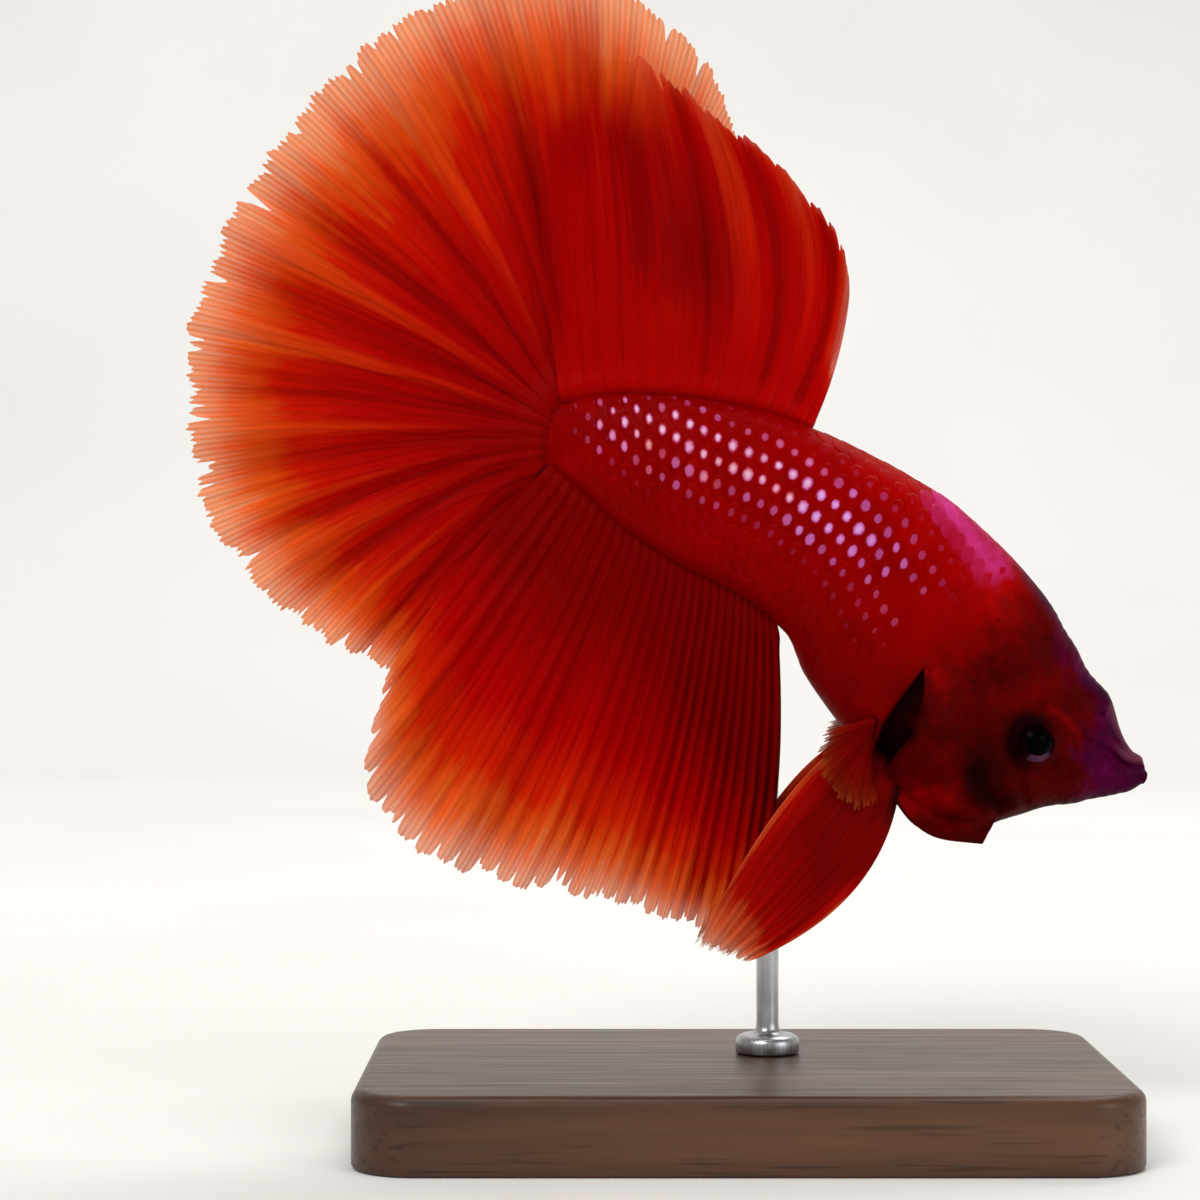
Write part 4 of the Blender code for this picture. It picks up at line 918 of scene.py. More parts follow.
# ---------------------------------------------------------------- gill covers
def build_gill_cover(name, side, material):
    rows, columns = 76, 64
    u = np.linspace(0, 1, rows)[:, None].repeat(columns, 1)
    v = np.linspace(0, 1, columns)[None, :].repeat(rows, 0)
    edge = 1 + 0.018 * np.sin(2 * math.pi * 5 * u + 0.6) * smooth((u - 0.5) / 0.3) - 0.02 * smooth((u - 0.86) / 0.1)
    p, wide, mid = gill_cover(u, v * edge)
    wide = np.asarray(wide).reshape(u.shape)
    mid = np.asarray(mid).reshape(u.shape)
    x, z = p[..., 0], p[..., 1]
    lobe = smooth((u - 0.62) / 0.2)                        # the soft membrane below the bony cover
    ends = smooth(u / 0.16) * (1 - 0.9 * smooth((u - 0.90) / 0.10))
    lift = -0.16 + (0.58 * smooth(v * 1.5) + (0.95 + 0.1 * lobe) * v ** 2.6) * ends
    # bones and folds: the cover's ridge, its lower plate and the membrane's rays
    lift += 0.10 * bell(to_polyline(x, z, ((18.6, 36.0), (15.9, 34.6), (14.4, 33.2)))[0], 0.5) * smooth(v * 4)
    lift -= 0.13 * bell(to_polyline(x, z, ((18.4, 29.6), (16.0, 28.2), (13.6, 27.6), (12.0, 27.8)))[0], 0.28) * smooth(v * 4)
    lift -= 0.10 * bell(to_polyline(x, z, ((19.6, 27.4), (17.4, 25.8), (15.2, 25.0), (13.6, 25.2)))[0], 0.22) * smooth(v * 4)
    lift += 0.06 * np.sin(2 * math.pi * 3.5 * v + 2.0 * u) * lobe
    lift += 0.04 * soft_noise(x, z, 2.2, 21) * smooth(v * 4)
    thick = 0.34 * (1 - smooth((v - 0.78) / 0.22)) * (1 - 0.45 * lobe) + 0.07
    front, back = [], []
    for more, into in ((0.0, front), (-thick, back)):
        y = mid + side * (wide + lift + more)
        into.append(np.stack([x, y, z], -1))
    outer, inner = front[0], back[0]
    points = np.concatenate([outer.reshape(-1, 3), inner.reshape(-1, 3)])
    n = rows * columns
    faces = grid_faces(rows, columns)
    under = grid_faces(rows, columns, n)[:, ::-1]
    rim = ([k for k in range(columns)] + [r * columns + columns - 1 for r in range(1, rows)]
           + [(rows - 1) * columns + k for k in range(columns - 2, -1, -1)] + [r * columns for r in range(rows - 2, 0, -1)])
    rim = np.array(rim)
    nxt = np.roll(rim, -1)
    wall = np.stack([rim, n + rim, n + nxt, nxt], -1)
    faces = np.concatenate([faces, under, wall])
    if side > 0:
        faces = faces[:, ::-1]
    s, up = station_of(x, z)
    c = np.clip(up / np.where(up > 0, height(s), depth(s)), -1.0, 1.0)
    values = marks(x, z, s, c)
    free = smooth((v - 0.25) / 0.4)
    own = (0.94 * head_dark(x, z, s, c) * (1 - 0.62 * lobe * free * smooth((19.5 - x) / 3.0) * smooth((z - 23.8) / 3.4))
                      + 0.34 * lobe * smooth((26.2 - z) / 2.4) - 0.50 * bell(np.hypot((x - 13.7) / 2.0, (z - 27.9) / 1.6), 1.0) * free
                      + 0.10 * soft_noise(x, z, 2.0, 31) * free
                      # painted shade along the upper part of the free edge, by the gill opening
                      + 0.8 * smooth((v - 0.70) / 0.3) * (1 - smooth((u - 0.42) / 0.2)) * smooth(u / 0.12)
                      + sum(size * bell(np.hypot((x - bx) / wide_, (z - bz) / tall), 1.0) for bx, bz, wide_, tall, size in BLOTCHES) * smooth(v / 0.2)
           # painted shade on the lower side, as under the eye
           + 0.14 * smooth((-c + 0.05) / 0.5) * (1 - lobe * smooth((z - 24.6) / 2.4)) * (1 - smooth((s - 15) / 5)))
    away = smooth((v - 0.10) / 0.40)                       # the hinge wears the skin's own colours
    values["dark"] = values["dark"] * (1 - away) + own * away
    values["purple"] = values["purple"] * (1 - away)
    values["bright"] = values["bright"] * (1 - away) + (0.45 + 0.15 * lobe + 0.1 * soft_noise(x, z, 1.5, 32)) * away
    # painted shade: the cover's inner side near black
    inner_values = {k: np.full(u.shape, w) for k, w in (("dark", 1.35), ("purple", 0.0), ("magenta", 0.0), ("bright", 0.2))}
    merged = {k: np.concatenate([np.broadcast_to(values[k], u.shape).ravel(), inner_values[k].ravel()]) for k in inner_values}
    for key in ("spot", "lx", "ly", "painted"):
        merged[key] = np.zeros(2 * n)
    uv = np.concatenate([np.stack([0.02 + 0.94 * u.ravel(), 0.02 + 0.45 * v.ravel()], -1), np.stack([0.02 + 0.94 * u.ravel(), 0.52 + 0.45 * v.ravel()], -1)])
    loops = uv[faces.ravel()].reshape(-1, 4, 2)
    mixed = (faces < n).any(1) & (faces >= n).any(1)
    front_uv = uv[faces % n] + np.where((faces >= n)[..., None], 0.004, 0.0)
    loops = np.where(mixed[:, None, None], np.clip(front_uv, 0.001, 0.999), loops)
    return mesh_piece(name, points, faces, material, merged, loop_uv=loops.reshape(-1, 2))


# ---------------------------------------------------------------- eyes
def build_eye(name, side, material):
    rings, around = 44, 72
    a = np.linspace(0, math.pi, rings + 1)[1:-1]
    t = np.arange(around) / around * 2 * math.pi
    aa, tt = np.meshgrid(a, t, indexing="ij")
    swell = 1 + 0.055 * bell(aa, 0.62)
    r = EYE_RADIUS * swell
    local = np.stack([r * np.sin(aa) * np.cos(tt), side * r * np.cos(aa), r * np.sin(aa) * np.sin(tt)], -1)
    local = np.concatenate([[[0, side * EYE_RADIUS * 1.055, 0]], local.reshape(-1, 3), [[0, -side * EYE_RADIUS, 0]]])
    turn = math.radians(7) * side                        # the gaze goes a little forward
    look = np.array(((math.cos(turn), math.sin(turn) * 1.0, 0), (-math.sin(turn), math.cos(turn), 0), (0, 0, 1)))
    points = local @ look.T + np.array((EYE_CENTRE[0], EYE_MID + side * EYE_Y, EYE_CENTRE[1]))
    count = len(a) * around
    faces = grid_faces(len(a), around, 1, closed=True)
    half = np.arange(0, around, 2)
    cap_a = np.stack([np.zeros(len(half), int), 1 + (half + 2) % around, 1 + (half + 1) % around, 1 + half], -1)
    end = 1 + (len(a) - 1) * around
    cap_b = np.stack([np.full(len(half), count + 1), end + half, end + (half + 1) % around, end + (half + 2) % around], -1)
    faces = np.concatenate([faces, cap_a, cap_b])
    if side < 0:
        faces = faces[:, ::-1]
    flat = np.hypot(local[:, 0], local[:, 2])
    ring = np.where(local[:, 1] * side > 0, flat / 1.62, 1.2)
    low = smooth((-local[:, 2] / np.maximum(flat, 0.05) * 0.97 + local[:, 0] / np.maximum(flat, 0.05) * 0.12 - 0.35) / 0.6)
    uv = np.stack([0.5 + local[:, 0] / 3.8 * np.where(local[:, 1] * side > 0, 0.5, 0.5) + np.where(local[:, 1] * side > 0, -0.25, 0.25), 0.5 + local[:, 2] / 3.8], -1)
    return mesh_piece(name, points, faces, material, {"ring": ring, "low": low}, uv=uv)


# ---------------------------------------------------------------- fins
def at_numbers(u, knots):
    k = np.array(knots, float)
    return np.interp(u, k[:, 0], k[:, 1])


def build_fin(name, shape, material, primaries, splits, per_ray, rows, thickness, ray_size, warm, teeth, petals, wave, fold, part=(0.0, 1.0),
              jitter=0.25, sink=0.8, ray_wide=(0.20, 0.085), seed=1, root=(0.25, 0.10), lobed=3.2, uneven=0.0, splits_in=0,
              split_deep=(0.7, 2.3), split_wide=(0.8, 2.4), notches=(),
              shade=lambda u, v: 0.0 * v, fade=lambda u, v: 0.0 * v, lead=lambda u, v: 9.0 + 0.0 * v):
    """A fin of branching rays in a thin membrane: a closed sheet whose columns follow the rays.

    primaries rays at the root each split at the given shares of their length. teeth and petals are how far, in
    millimetres, the membrane falls back between ray tips and between the root rays' groups. warm is the width of the
    warm border. fold gives painted light on the folds' crests and painted shade in their creases; shade darkens the
    colour towards near black.
    """
    fine = primaries * 2 ** len(splits)
    total = fine * per_ray
    first, last = int(round(part[0] * total)), int(round(part[1] * total))
    columns = last - first + 1
    u1 = np.arange(first, last + 1) / total
    t = np.linspace(0, 1, rows)
    v1 = 1 - (1 - t) ** 1.3
    r = np.random.default_rng(seed)
    u, v = np.meshgrid(u1, v1)
    # lengths and the free edge
    p0, y0 = shape(u, v, sink)
    full = np.linalg.norm(p0[-1] - p0[0], axis=-1)
    step_size = np.linalg.norm(np.gradient(p0[-1], axis=0), axis=-1).mean() * total       # the free edge's length
    phase = np.abs((u1 * fine) % 1.0 - 0.5) * 2             # 0 on a fine ray, 1 midway between two
    group = np.abs((u1 * primaries) % 1.0 - 0.5) * 2
    index = np.minimum((u1 * fine).astype(int), fine - 1)
    between = np.round(u1 * fine).astype(int)
    ray_short = r.uniform(0, 1, fine)
    gap_deep = r.uniform(0.2, 1.7, fine + 1)
    group_short = r.uniform(0, 1, primaries)[np.minimum((u1 * primaries).astype(int), primaries - 1)]
    slow = np.interp(u1, np.linspace(0, 1, 60), r.uniform(-1, 1, 60))
    back = (at_numbers(u1, teeth) * gap_deep[between] * phase ** 0.9 + at_numbers(u1, petals) * group ** lobed
            + jitter * (ray_short[index] * 0.7 + 0.5 * slow) + uneven * group_short)
    # splits in the membrane at uneven places
    for place, deep, wide in zip(r.uniform(0.02, 0.98, splits_in), r.uniform(*split_deep, splits_in), r.uniform(*split_wide, splits_in)):
        off = (u1 - place) * fine / wide
        back = back + deep * np.clip(1 - np.where(off < 0, -off * 2.2, off), 0, 1) ** 1.3
    # the deeper notches: place, depth and half width in millimetres
    for place, deep, wide in notches:
        back = back + deep * np.clip(1 - np.abs(u1 - place) * step_size / wide, 0, 1) ** 1.25
    keep = 1 - back / full
    end = 1 - (1 - keep[None, :]) * smooth((v - 0.62) / 0.38)
    v = v * end
    p, y = shape(u, v, sink)
    y = y + wave(u, v) + v ** 4 * 0.10 * (r.uniform(-1, 1, fine)[index])[None, :] * (1 - phase)[None, :]
    mid = np.stack([p[..., 0], y, p[..., 1]], -1)
    # rays: where the nearest one is, in millimetres
    step = np.linalg.norm(np.gradient(mid, axis=1), axis=-1) * total
    f = np.arange(fine)
    levels = len(splits)
    centres = [((f // 2 ** (levels - k)) + 0.5) * 2 ** (levels - k) / fine for k in range(levels + 1)]
    ray = np.zeros(u.shape)
    for i in range(rows):
        at = centres[0].copy()
        for k in range(levels):
            at = at + (centres[k + 1] - centres[k]) * smooth((v1[i] - splits[k]) / 0.16)
        j = np.clip(np.searchsorted(at, u1), 1, fine - 1)
        near = np.minimum(np.abs(u1 - at[j - 1]), np.abs(u1 - at[j]))
        width = ray_wide[0] + (ray_wide[1] - ray_wide[0]) * v1[i] ** 0.7
        ray[i] = bell(near * step[i], width)
    normal = unit(np.cross(np.gradient(mid, axis=1), np.gradient(mid, axis=0)))
    body_half = (thickness[0] + (thickness[1] - thickness[0]) * smooth(v ** 0.6)) / 2
    # the fleshy foot of the fin: root[0] thicker, rising out of the body and gone again at root[1] of its length
    body_half = body_half + root[0] * smooth(v / (0.35 * root[1])) * (1 - smooth((v / root[1] - 0.35) / 0.65))
    half = body_half + ray * (ray_size[0] + (ray_size[1] - ray_size[0]) * v ** 0.6) / 2
    half = half * (1 - 0.55 * smooth((v / end - 0.93) / 0.07))
    front, back_ = mid + normal * half[..., None], mid - normal * half[..., None]
    points = np.concatenate([front.reshape(-1, 3), back_.reshape(-1, 3)])
    n = rows * columns
    faces, under = grid_faces(rows, columns), grid_faces(rows, columns, n)[:, ::-1]
    rim_index = np.array([k for k in range(columns)] + [i * columns + columns - 1 for i in range(1, rows)]
                         + [(rows - 1) * columns + k for k in range(columns - 2, -1, -1)] + [i * columns for i in range(rows - 2, 0, -1)])
    nxt = np.roll(rim_index, -1)
    wall = np.stack([rim_index, n + rim_index, n + nxt, nxt], -1)
    faces = np.concatenate([faces, under, wall])
    # values for the colours
    border = at_numbers(u, warm)
    # a membrane between two tips pales as the tips do
    left = np.maximum((1 - v) * full[None, :] - 0.35 * back[None, :] * smooth((v - 0.7) / 0.3), 0)
    values = {"rim": np.minimum(left / border, lead(u, v)), "ray": ray, "fold": np.clip(fold(u, v), -1, 1), "fin_u": u, "fin_v": v, "shade": np.clip(shade(u, v), 0, 1),
              "fade": np.clip(fade(u, v), 0, 1)}
    merged = {k: np.concatenate([np.broadcast_to(w, u.shape).ravel()] * 2) for k, w in values.items()}
    iu = (np.arange(columns) / (columns - 1))[None, :].repeat(rows, 0)
    iv = t[:, None].repeat(columns, 1)
    uv = np.stack([0.01 + 0.98 * iu.ravel(), 0.01 + 0.475 * iv.ravel()], -1)
    uv = np.concatenate([uv, uv + np.array((0.0, 0.5))])
    loops = uv[faces.ravel()].reshape(-1, 4, 2)
    mixed = np.arange(len(faces)) >= len(faces) - len(wall)
    rim_uv = uv[faces % n] + np.where((faces >= n)[..., None], np.array((0.0, 0.004)), 0.0)
    loops = np.where(mixed[:, None, None], rim_uv, loops)
    return mesh_piece(name, points, faces, material, merged, loop_uv=loops.reshape(-1, 2))


def ripple(u, cycles, seed):
    """A smooth wave from -1 to 1 that isn't quite regular."""
    r = np.random.default_rng(seed)
    a = r.uniform(0, 2 * math.pi, 3)
    return (np.sin(2 * math.pi * cycles * u + a[0] + 0.8 * np.sin(2 * math.pi * cycles * 0.23 * u + a[1])) * 0.75
            + 0.25 * np.sin(2 * math.pi * cycles * 1.9 * u + a[2]))


def caudal_wave(u, v):
    return -0.16 * v ** 1.2 * ripple(u, 28, 5) - 0.30 * smooth((v - 0.5) / 0.5) * ripple(u + 0.012 * v, 17, 6) * (0.4 + 0.6 * v)


# the fold values below feed the colours: painted light on the folds' crests and painted shade in their creases
def caudal_crest(u, v):
    grow = smooth(v / 0.18)
    return (1.0 * caudal_fold(u + 0.004 * np.sin(5 * v + 3 * u)) + 0.28 * ripple(u, 28, 5) + 0.18 * ripple(u, 60, 8)) * grow


def dorsal_wave(u, v):
    return -0.14 * v * ripple(u, 13, 15) - 0.22 * smooth((v - 0.55) / 0.45) * ripple(u, 9, 16)


# dorsal folds in the colours only, as painted light and shade
DORSAL_FOLDS = ((0.05, 1.35, 0.026), (0.11, -1.0, 0.022), (0.175, 1.05, 0.032), (0.25, -1.0, 0.025), (0.335, 1.45, 0.050), (0.43, -0.7, 0.035),
                (0.52, 0.30, 0.035), (0.66, -0.75, 0.085), (0.79, 0.35, 0.03), (0.86, -0.4, 0.025))     # place, height and width of each


def dorsal_crest(u, v):
    u = u + 0.02 * np.sin(2.6 * v + 7 * u)
    main = sum(high * bell(u - at, wide) for at, high, wide in DORSAL_FOLDS) + 1.9 * bell(u - 0.60, 0.10) * bell(v - 0.20, 0.13)
    return (main + 0.22 * ripple(u, 11, 15) + 0.18 * ripple(u, 31, 17)) * smooth(v / 0.15)


def anal_pleat(u):
    """One pleat to each of the 28 root rays, deeper in front."""
    return np.cos(2 * np.pi * 28 * (u - 0.5 / 28))


def anal_wave(u, v):
    deep = (0.10 + 0.14 * smooth(v / 0.5) * (1 - 0.6 * smooth((u - 0.25) / 0.4)) * (1 - 0.5 * smooth((v - 0.55) / 0.3)))
    return -deep * anal_pleat(u) * smooth(v / 0.08) - 0.28 * smooth((v - 0.4) / 0.6) * ripple(u, 8, 25)


def anal_crest(u, v):
    broad = -np.sin(2 * np.pi * 6.0 * u + 1.1 * v + 0.6)
    pleats = anal_pleat(u) * (1 - 0.65 * smooth((u - 0.25) / 0.4)) * (1 - 0.7 * smooth((v - 0.45) / 0.3))
    # painted shade in the creases between the rounded ends, and painted light on the ends
    ends = np.abs((u * 28) % 1.0 - 0.5) * 2
    crease = (0.55 * (1 - ends ** 2) - 1.0 * ends ** 3.5) * smooth((v - 0.66) / 0.22)
    return (0.34 * pleats + 0.30 * broad * v + 0.25 * ripple(u, 19, 27) * v + 0.12 * ripple(u, 70, 26)) * smooth(v / 0.1) + crease


def tail_shape(u, v, sink=0.0):
    """The tail fin with its first and last rays rooted a little beyond the stem's back and underside."""
    p, y = caudal(u, 1.013 * v, sink)
    nx, nz = across(STANDARD_LENGTH)
    more = 1.6 * (1 - 2 * u) ** 3 * (1 - smooth(v / 0.3))
    return p + more[..., None] * np.array((nx, nz)), y


def pelvic_fin(side):
    return lambda u, v, sink=0.0: pelvic(u, v, side, sink)


def pectoral_fin(side):
    return lambda u, v, sink=0.0: pectoral(u, v, side, sink)


def slight(cycles, size, seed):
    return lambda u, v: -size * v * ripple(u, cycles, seed)


caudal_mat = fin_material("tail_fin_rays", inner=srgb(188, 4, 0), middle=srgb(210, 26, 0), outer=srgb(234, 98, 22), fringe=srgb(244, 150, 84),
                          deep=srgb(158, 0, 0), clear=0.46, light=0.36, warm=1.1, streaks=0.85)
anal_mat = fin_material("anal_fin_rays", inner=srgb(194, 0, 0), middle=srgb(220, 40, 0), outer=srgb(238, 112, 34), fringe=srgb(240, 156, 108),
                        deep=srgb(146, 0, 0), clear=0.46, light=0.40, lines=0.7, warm=0.6)
dorsal_mat = fin_material("dorsal_fin_rays", inner=srgb(190, 0, 0), middle=srgb(198, 10, 0), outer=srgb(204, 36, 10), fringe=srgb(216, 72, 42),
                          deep=srgb(184, 0, 0), clear=0.30, light=0.32, lines=0.40, warm=1.0,
                          crests=(srgb(190, 0, 0), srgb(210, 20, 0), srgb(216, 44, 6), srgb(218, 60, 26)))
pelvic_mat = fin_material("pelvic_fin_rays", inner=srgb(168, 2, 0), middle=srgb(188, 12, 0), outer=srgb(238, 108, 58), fringe=srgb(244, 168, 130),
                          deep=srgb(130, 0, 0), clear=0.3, light=0.26, warm=0.45, lines=0.6)
pectoral_mat = fin_material("pectoral_fin_rays", inner=srgb(142, 0, 0), middle=srgb(146, 6, 0), outer=srgb(150, 34, 6), fringe=srgb(172, 82, 32),
                            clear=0.50, light=0.40, deep=srgb(122, 0, 0), warm=0.10, lines=0.4)

skin_mat = skin_material("red_skin")
eye_mat = eye_material()

places = scale_places()
skin = build_skin(skin_mat, places)
scales_right = build_scales("right_scales", -1, places, skin_mat, 41)
scales_left = build_scales("left_scales", 1, places, skin_mat, 42)
cover_right = build_gill_cover("right_cover", -1, skin_mat)
cover_left = build_gill_cover("left_cover", 1, skin_mat)
eye_right = build_eye("right_eyeball", -1, eye_mat)
eye_left = build_eye("left_eyeball", 1, eye_mat)

CAUDAL = dict(primaries=14, splits=(0.20, 0.38, 0.56, 0.74), per_ray=4, rows=84, thickness=(0.36, 0.05), ray_size=(0.20, 0.06),
              warm=((0, 12), (0.2, 16.5), (0.35, 14), (0.6, 11), (0.8, 10), (1, 7)), teeth=((0, 0.25), (0.3, 0.32), (0.7, 0.3), (1, 0.25)),
              petals=((0, 0.2), (0.7, 0.25), (0.8, 0.6), (1, 0.6)), wave=caudal_wave, fold=caudal_crest, jitter=0.5, seed=51, sink=0.9, root=(0.75, 0.15),
              uneven=0.4, splits_in=24, split_deep=(0.4, 1.3), split_wide=(0.5, 1.3),
              notches=((0.352, 1.3, 0.4), (0.481, 2.5, 0.75), (0.551, 1.7, 0.5), (0.668, 1.2, 0.4), (0.795, 1.5, 0.45), (0.905, 1.4, 0.45)))
tail_upper = build_fin("tail_fin_upper", tail_shape, caudal_mat, part=(0.0, 0.5), **CAUDAL)
tail_lower = build_fin("tail_fin_lower", tail_shape, caudal_mat, part=(0.5, 1.0), **CAUDAL)
anal_piece = build_fin("anal_fin_rays", anal, anal_mat, primaries=28, splits=(0.45, 0.72), per_ray=6, rows=66, thickness=(0.34, 0.05), ray_size=(0.18, 0.06),
                       warm=((0, 5.0), (0.3, 7.8), (0.6, 10.5), (0.85, 11), (1, 6.5)), teeth=((0, 0.18), (1, 0.22)), petals=((0, 0.7), (0.5, 1.0), (1, 1.4)),
                       wave=anal_wave, fold=anal_crest, jitter=0.3, seed=52, lobed=4.5, uneven=0.8, splits_in=5)
dorsal_piece = build_fin("dorsal_fin_rays", lambda u, v, sink=0.0: dorsal(u * 1.055, v, sink), dorsal_mat, primaries=14, splits=(0.35, 0.62), per_ray=8, rows=74, thickness=(0.36, 0.06), ray_size=(0.20, 0.06), root=(0.50, 0.10),
                         warm=((0, 2.6), (0.3, 3.2), (0.5, 3.6), (0.75, 3.0), (1, 2.0)), teeth=((0, 0.30), (0.5, 0.3), (1, 0.2)), petals=((0, 0.7), (0.3, 0.9), (0.6, 0.3), (1, 0.3)),
                         fade=lambda u, v: np.maximum(0.9 * smooth((u - 0.90) / 0.10) * smooth((v - 0.08) / 0.25), 0.97 * smooth((u - 0.40) / 0.25) * smooth((v - 0.62) / 0.34)),
                         lead=lambda u, v: 0.02 + 3.0 * u + 10.0 * np.maximum(u - 0.018, 0) + 1.2 * smooth((0.40 - v) / 0.25),
                         shade=lambda u, v: 0.42 * bell(u - 0.50, 0.14) * bell(v - 0.45, 0.25),
                         wave=dorsal_wave, fold=dorsal_crest, jitter=0.35, seed=53, uneven=0.5, splits_in=5)
small = {}
for side, word in ((-1, "right"), (1, "left")):
    small[word + "_pelvic_fin"] = build_fin(word + "_pelvic_rays", pelvic_fin(side), pelvic_mat, primaries=6, splits=(0.4, 0.7), per_ray=8, rows=64,
                                            thickness=(0.40, 0.07), ray_size=(0.22, 0.08), warm=((0, 2.4), (0.5, 4.2), (1, 5.2)), teeth=((0, 0.25), (1, 0.35)),
                                            petals=((0, 0.3), (1, 0.6)), wave=slight(5, 0.22, 61), fold=lambda u, v: 0.45 * ripple(u, 5, 62) * smooth(v / 0.2),
                                            jitter=0.35, seed=54 + side,
                                            # painted shade at the root and along the front edge, under the gill cover's
                                            # lobe
                                            shade=lambda u, v: np.maximum(1 - smooth(v / 0.13), (1 - smooth((u - 0.04) / 0.22)) * (1 - smooth((v - 0.14) / 0.16))),
                                            lead=lambda u, v: np.minimum(0.50 + 7.0 * (1 - u) + 1.5 * smooth((0.3 - v) / 0.2), 0.42 + 9.0 * u + 2.0 * smooth((0.62 - v) / 0.3)))
    small[word + "_pectoral_fin"] = build_fin(word + "_pectoral_rays", pectoral_fin(side) if side < 0 else lambda u, v, sink=0.0: pectoral(u, 0.70 * v, 1, sink), pectoral_mat, primaries=13, splits=(0.55,), per_ray=8, rows=44,
                                              thickness=(0.30, 0.04), ray_size=(0.18, 0.06), warm=((0, 3.2), (1, 3.6)), teeth=((0, 0.25), (1, 0.3)),
                                              petals=((0, 0.5), (1, 0.5)), wave=slight(6, 0.12, 63), fold=lambda u, v: 0.5 * ripple(u, 13, 64) * smooth(v / 0.2),
                                              jitter=0.3, seed=57 + side, root=(0.15, 0.2), uneven=0.4,
                                              # painted shade at the root and by the last rays
                                              shade=lambda u, v: np.maximum(1 - smooth(v / 0.12), 0.7 * smooth((u - 0.86) / 0.14) * (1 - smooth((v - 0.5) / 0.4))),
                                              fade=lambda u, v: (0.16 + 0.26 * smooth((v - 0.5) / 0.4)) * (0.35 + 0.65 * smooth((u - 0.12) / 0.3)) + 0.2 * smooth((u - 0.9) / 0.1))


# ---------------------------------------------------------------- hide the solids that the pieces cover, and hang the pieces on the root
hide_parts("head", "lower_jaw", "trunk", "tail_stem")
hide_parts("right_gill_cover")
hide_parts("left_gill_cover")
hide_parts("right_eye")
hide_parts("left_eye")
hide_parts("tail_fin")
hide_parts("anal_fin")
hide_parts("dorsal_fin")
for node, piece in small.items():
    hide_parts(node)
slots = {"red_skin": (skin, scales_right, scales_left, cover_right, cover_left), "dark_eye": (eye_right, eye_left),
         "red_fin": (tail_upper, tail_lower, anal_piece, dorsal_piece, small["right_pelvic_fin"], small["left_pelvic_fin"]),
         "pale_fin": (small["right_pectoral_fin"], small["left_pectoral_fin"])}
for slot, pieces in slots.items():
    for piece in pieces:
        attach(piece, "root")


# ---------------------------------------------------------------- the stand, with its edges rounded over
def lathe(name, line, at, around, material):
    """A closed piece turned from a line of (radius, height) that starts and ends on the axis."""
    line = np.array(line, float)
    turn = np.linspace(0, 2 * math.pi, around, endpoint=False)
    ring = line[1:-1, 0, None]
    points = np.stack([at[0] + ring * np.cos(turn), at[1] + ring * np.sin(turn), line[1:-1, 1, None] + 0 * turn], -1).reshape(-1, 3)
    return capped_piece(name, points, len(line) - 2, around, (at[0], at[1], line[0, 1]), (at[0], at[1], line[-1, 1]), material)


def capped_piece(name, points, rows, around, below, above, material):
    """Rings of points from the underside up, closed by a fan at each end."""
    n = len(points)
    points = np.concatenate([points, (below, above)])
    faces = grid_faces(rows, around, closed=True)
    k = np.arange(0, around, 2)
    one, two, three = k, (k + 1) % around, (k + 2) % around
    last = (rows - 1) * around
    faces = np.concatenate([faces, np.stack([0 * k + n, three, two, one], -1), np.stack([0 * k + n + 1, last + one, last + two, last + three], -1)])
    uv = np.concatenate([np.stack(np.broadcast_arrays(np.arange(around) / around, (np.arange(rows) / max(rows - 1, 1))[:, None]), -1).reshape(-1, 2), ((0.5, 0.0), (0.5, 1.0))])
    corners = uv[faces.ravel()].reshape(-1, 4, 2)
    wrap = (corners[..., 0].max(1) - corners[..., 0].min(1)) > 0.6
    corners[..., 0] = np.where(wrap[:, None] & (corners[..., 0] < 0.3), corners[..., 0] + 1.0, corners[..., 0])
    return mesh_piece(name, points, faces, material, loop_uv=0.02 + 0.92 * corners)


def plinth(name, size, corner, edge, material):
    """A low block with rounded corners and a rounded edge."""
    steps = 20
    a = np.linspace(0, math.pi / 2, steps + 1)
    outline, out = [], []
    for k, (sx, sy) in enumerate(((1, 1), (-1, 1), (-1, -1), (1, -1))):
        t = a + k * math.pi / 2
        mid = np.array((sx * (size[0] / 2 - corner), sy * (size[1] / 2 - corner)))
        out.append(np.stack([np.cos(t), np.sin(t)], -1))
        outline.append(mid + 0 * out[-1])
    mid, out = np.concatenate(outline), np.concatenate(out)
    b = np.linspace(0, math.pi / 2, 9)
    rings = [(edge + 1.2, 0.0), (0.5, 0.0), (0.30, 0.03), (0.10, 0.14), (0.0, 0.34), (0.0, 0.7), (0.0, size[2] - edge - 0.3)]
    rings += [(edge * (1 - math.cos(t)), size[2] - edge + edge * math.sin(t)) for t in b] + [(edge + 0.25, size[2]), (edge + 1.2, size[2]), (corner - 0.2, size[2])]
    points = np.concatenate([np.concatenate([mid + out * (corner - inset), np.full((len(mid), 1), z)], -1) for inset, z in rings])
    return capped_piece(name, points, len(rings), len(mid), (0, 0, 0), (0, 0, size[2]), material)


base_piece = plinth("stand_plinth", (60.0, 38.0, 6.0), 5.0, 0.9, wood_material())
rod_piece = lathe("stand_post", [(0, 6.06), (1.2, 6.06), (2.40, 6.06), (2.54, 6.11), (2.60, 6.24), (2.60, 6.9), (2.56, 7.12), (2.45, 7.32), (2.28, 7.46), (2.08, 7.55),
                                 (1.70, 7.60), (1.40, 7.64), (1.18, 7.74), (1.02, 7.92), (0.93, 8.18), (0.90, 8.6), (0.90, 12.0), (0.90, 24.0), (0.90, 36.0), (0.90, 48.0), (0, 48.0)],
                  (2.4, 3.9), 56, steel_material())
for piece, node, slot in ((base_piece, "stand_base", "dark_wood"), (rod_piece, "stand_rod", "brushed_steel")):
    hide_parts(node)
    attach(piece, "root")

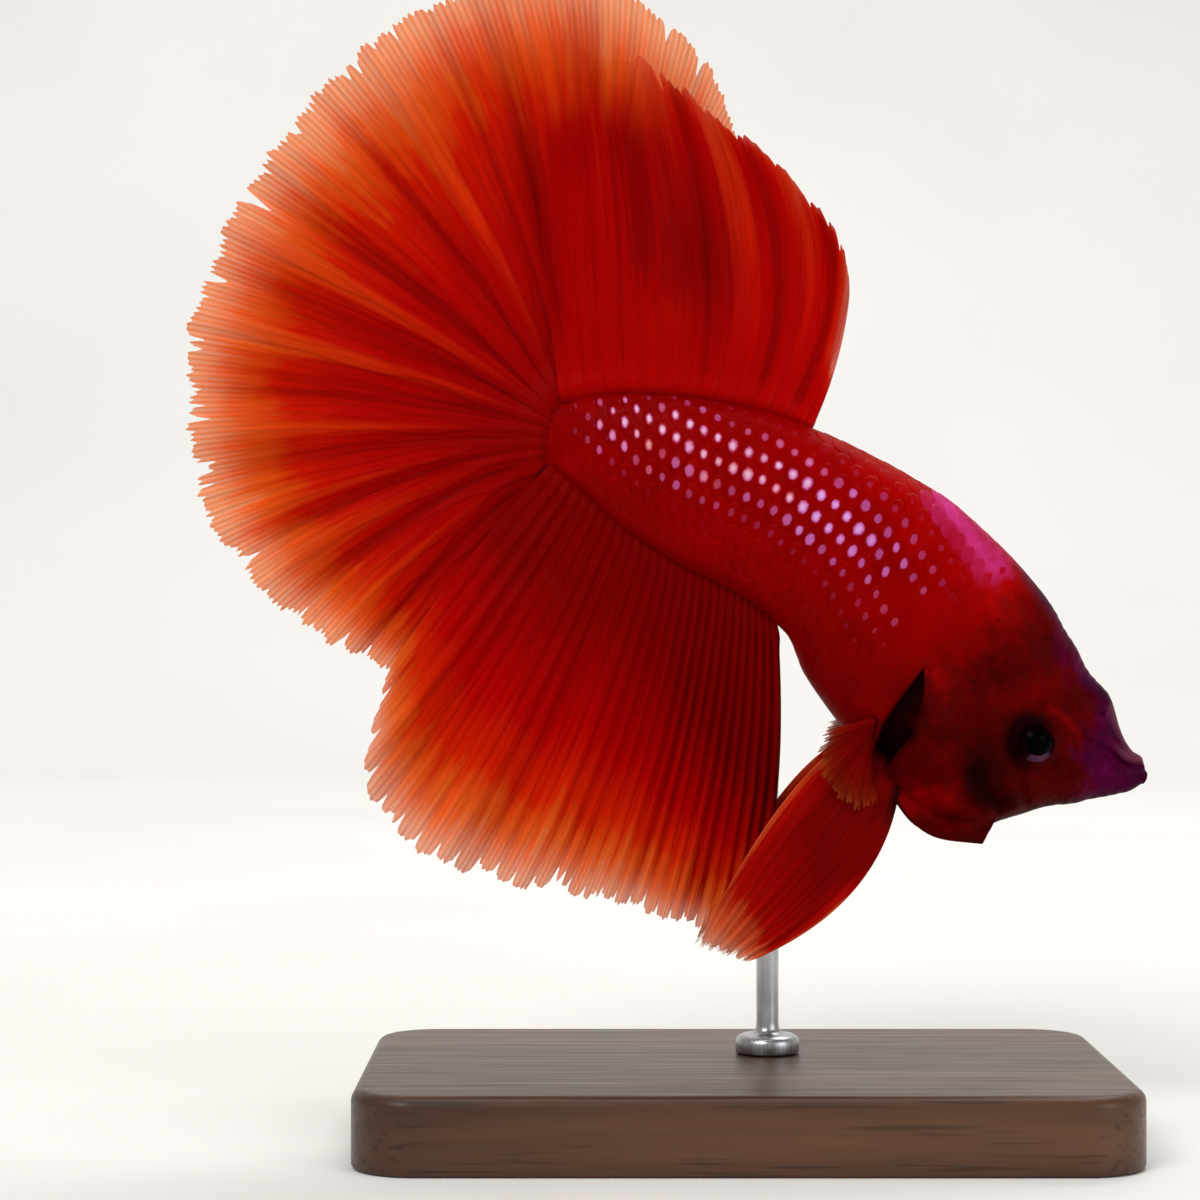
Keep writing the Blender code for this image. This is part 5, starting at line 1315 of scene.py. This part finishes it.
# ---------------------------------------------------------------- the room
def floor_piece():
    """A pale sweep: a floor that curves up into a backdrop."""
    n = Nodes("pale_sweep")
    tone = n.noise(n.place((10.0, 10.0, 10.0)), 0.6, 2.0)
    n.set(Base_Color=n.ramp(tone, (0.3, srgb(226, 224, 220)), (0.7, srgb(234, 232, 228))), Roughness=0.9)
    n.shader.inputs["Specular IOR Level"].default_value = 0.1
    line = [(-700.0, 0.0)] + [(500.0 + 300.0 * math.sin(a), 300.0 - 300.0 * math.cos(a)) for a in np.linspace(0, math.pi / 2, 24)] + [(800.0, 1500.0)]
    points = [(x, y, z) for y, z in line for x in (-2500.0, 2500.0)]
    faces = [(2 * k, 2 * k + 1, 2 * k + 3, 2 * k + 2) for k in range(len(line) - 1)]
    return mesh_piece("floor_sweep", points, faces, n.material)


def lamp(name, at, aim, size, power, colour=(1, 1, 1)):
    light = bpy.data.lights.new(name, "AREA")
    light.shape = "RECTANGLE"
    light.size, light.size_y = size
    light.energy = power
    light.color = colour
    made = bpy.data.objects.new(name, light)
    made.location = Vector(at)
    made.rotation_euler = (Vector(aim) - Vector(at)).to_track_quat("-Z", "Y").to_euler()
    bpy.context.scene.collection.objects.link(made)
    return made


floor_piece()
MID = (-0.006, 0.0, 0.048)
lamp("key", (-0.75, -1.15, 1.25), MID, (0.70, 0.70), 15.0, (1.0, 0.98, 0.95))
lamp("fill", (1.20, -1.00, 0.55), MID, (0.90, 0.90), 7.0, (0.97, 0.98, 1.0))
lamp("back", (0.15, 0.34, 0.62), MID, (0.40, 0.30), 1.6)
lamp("wall", (0.0, -0.10, 1.60), (0.0, 0.75, 0.20), (0.90, 0.50), 6.0)

scene = bpy.context.scene
world = bpy.data.worlds.new("studio")
world.use_nodes = True
world.node_tree.nodes["Background"].inputs[0].default_value = (0.92, 0.93, 0.95, 1.0)
world.node_tree.nodes["Background"].inputs[1].default_value = 0.40
scene.world = world
scene.view_settings.view_transform = "Standard"
scene.view_settings.look = "None"

CAMERA_BACK, FRAME_WIDTH, FRAME_MID = 0.250, 0.096, (-0.0112, 0.0428)
camera = bpy.data.cameras.new("camera")
camera.sensor_width = 36.0
camera.lens = 36.0 * CAMERA_BACK / FRAME_WIDTH
camera.clip_start, camera.clip_end = 0.005, 20.0
eye = bpy.data.objects.new("camera", camera)
eye.location = (FRAME_MID[0], -CAMERA_BACK, FRAME_MID[1])
eye.rotation_euler = (math.pi / 2, 0.0, 0.0)
scene.collection.objects.link(eye)
scene.camera = eye
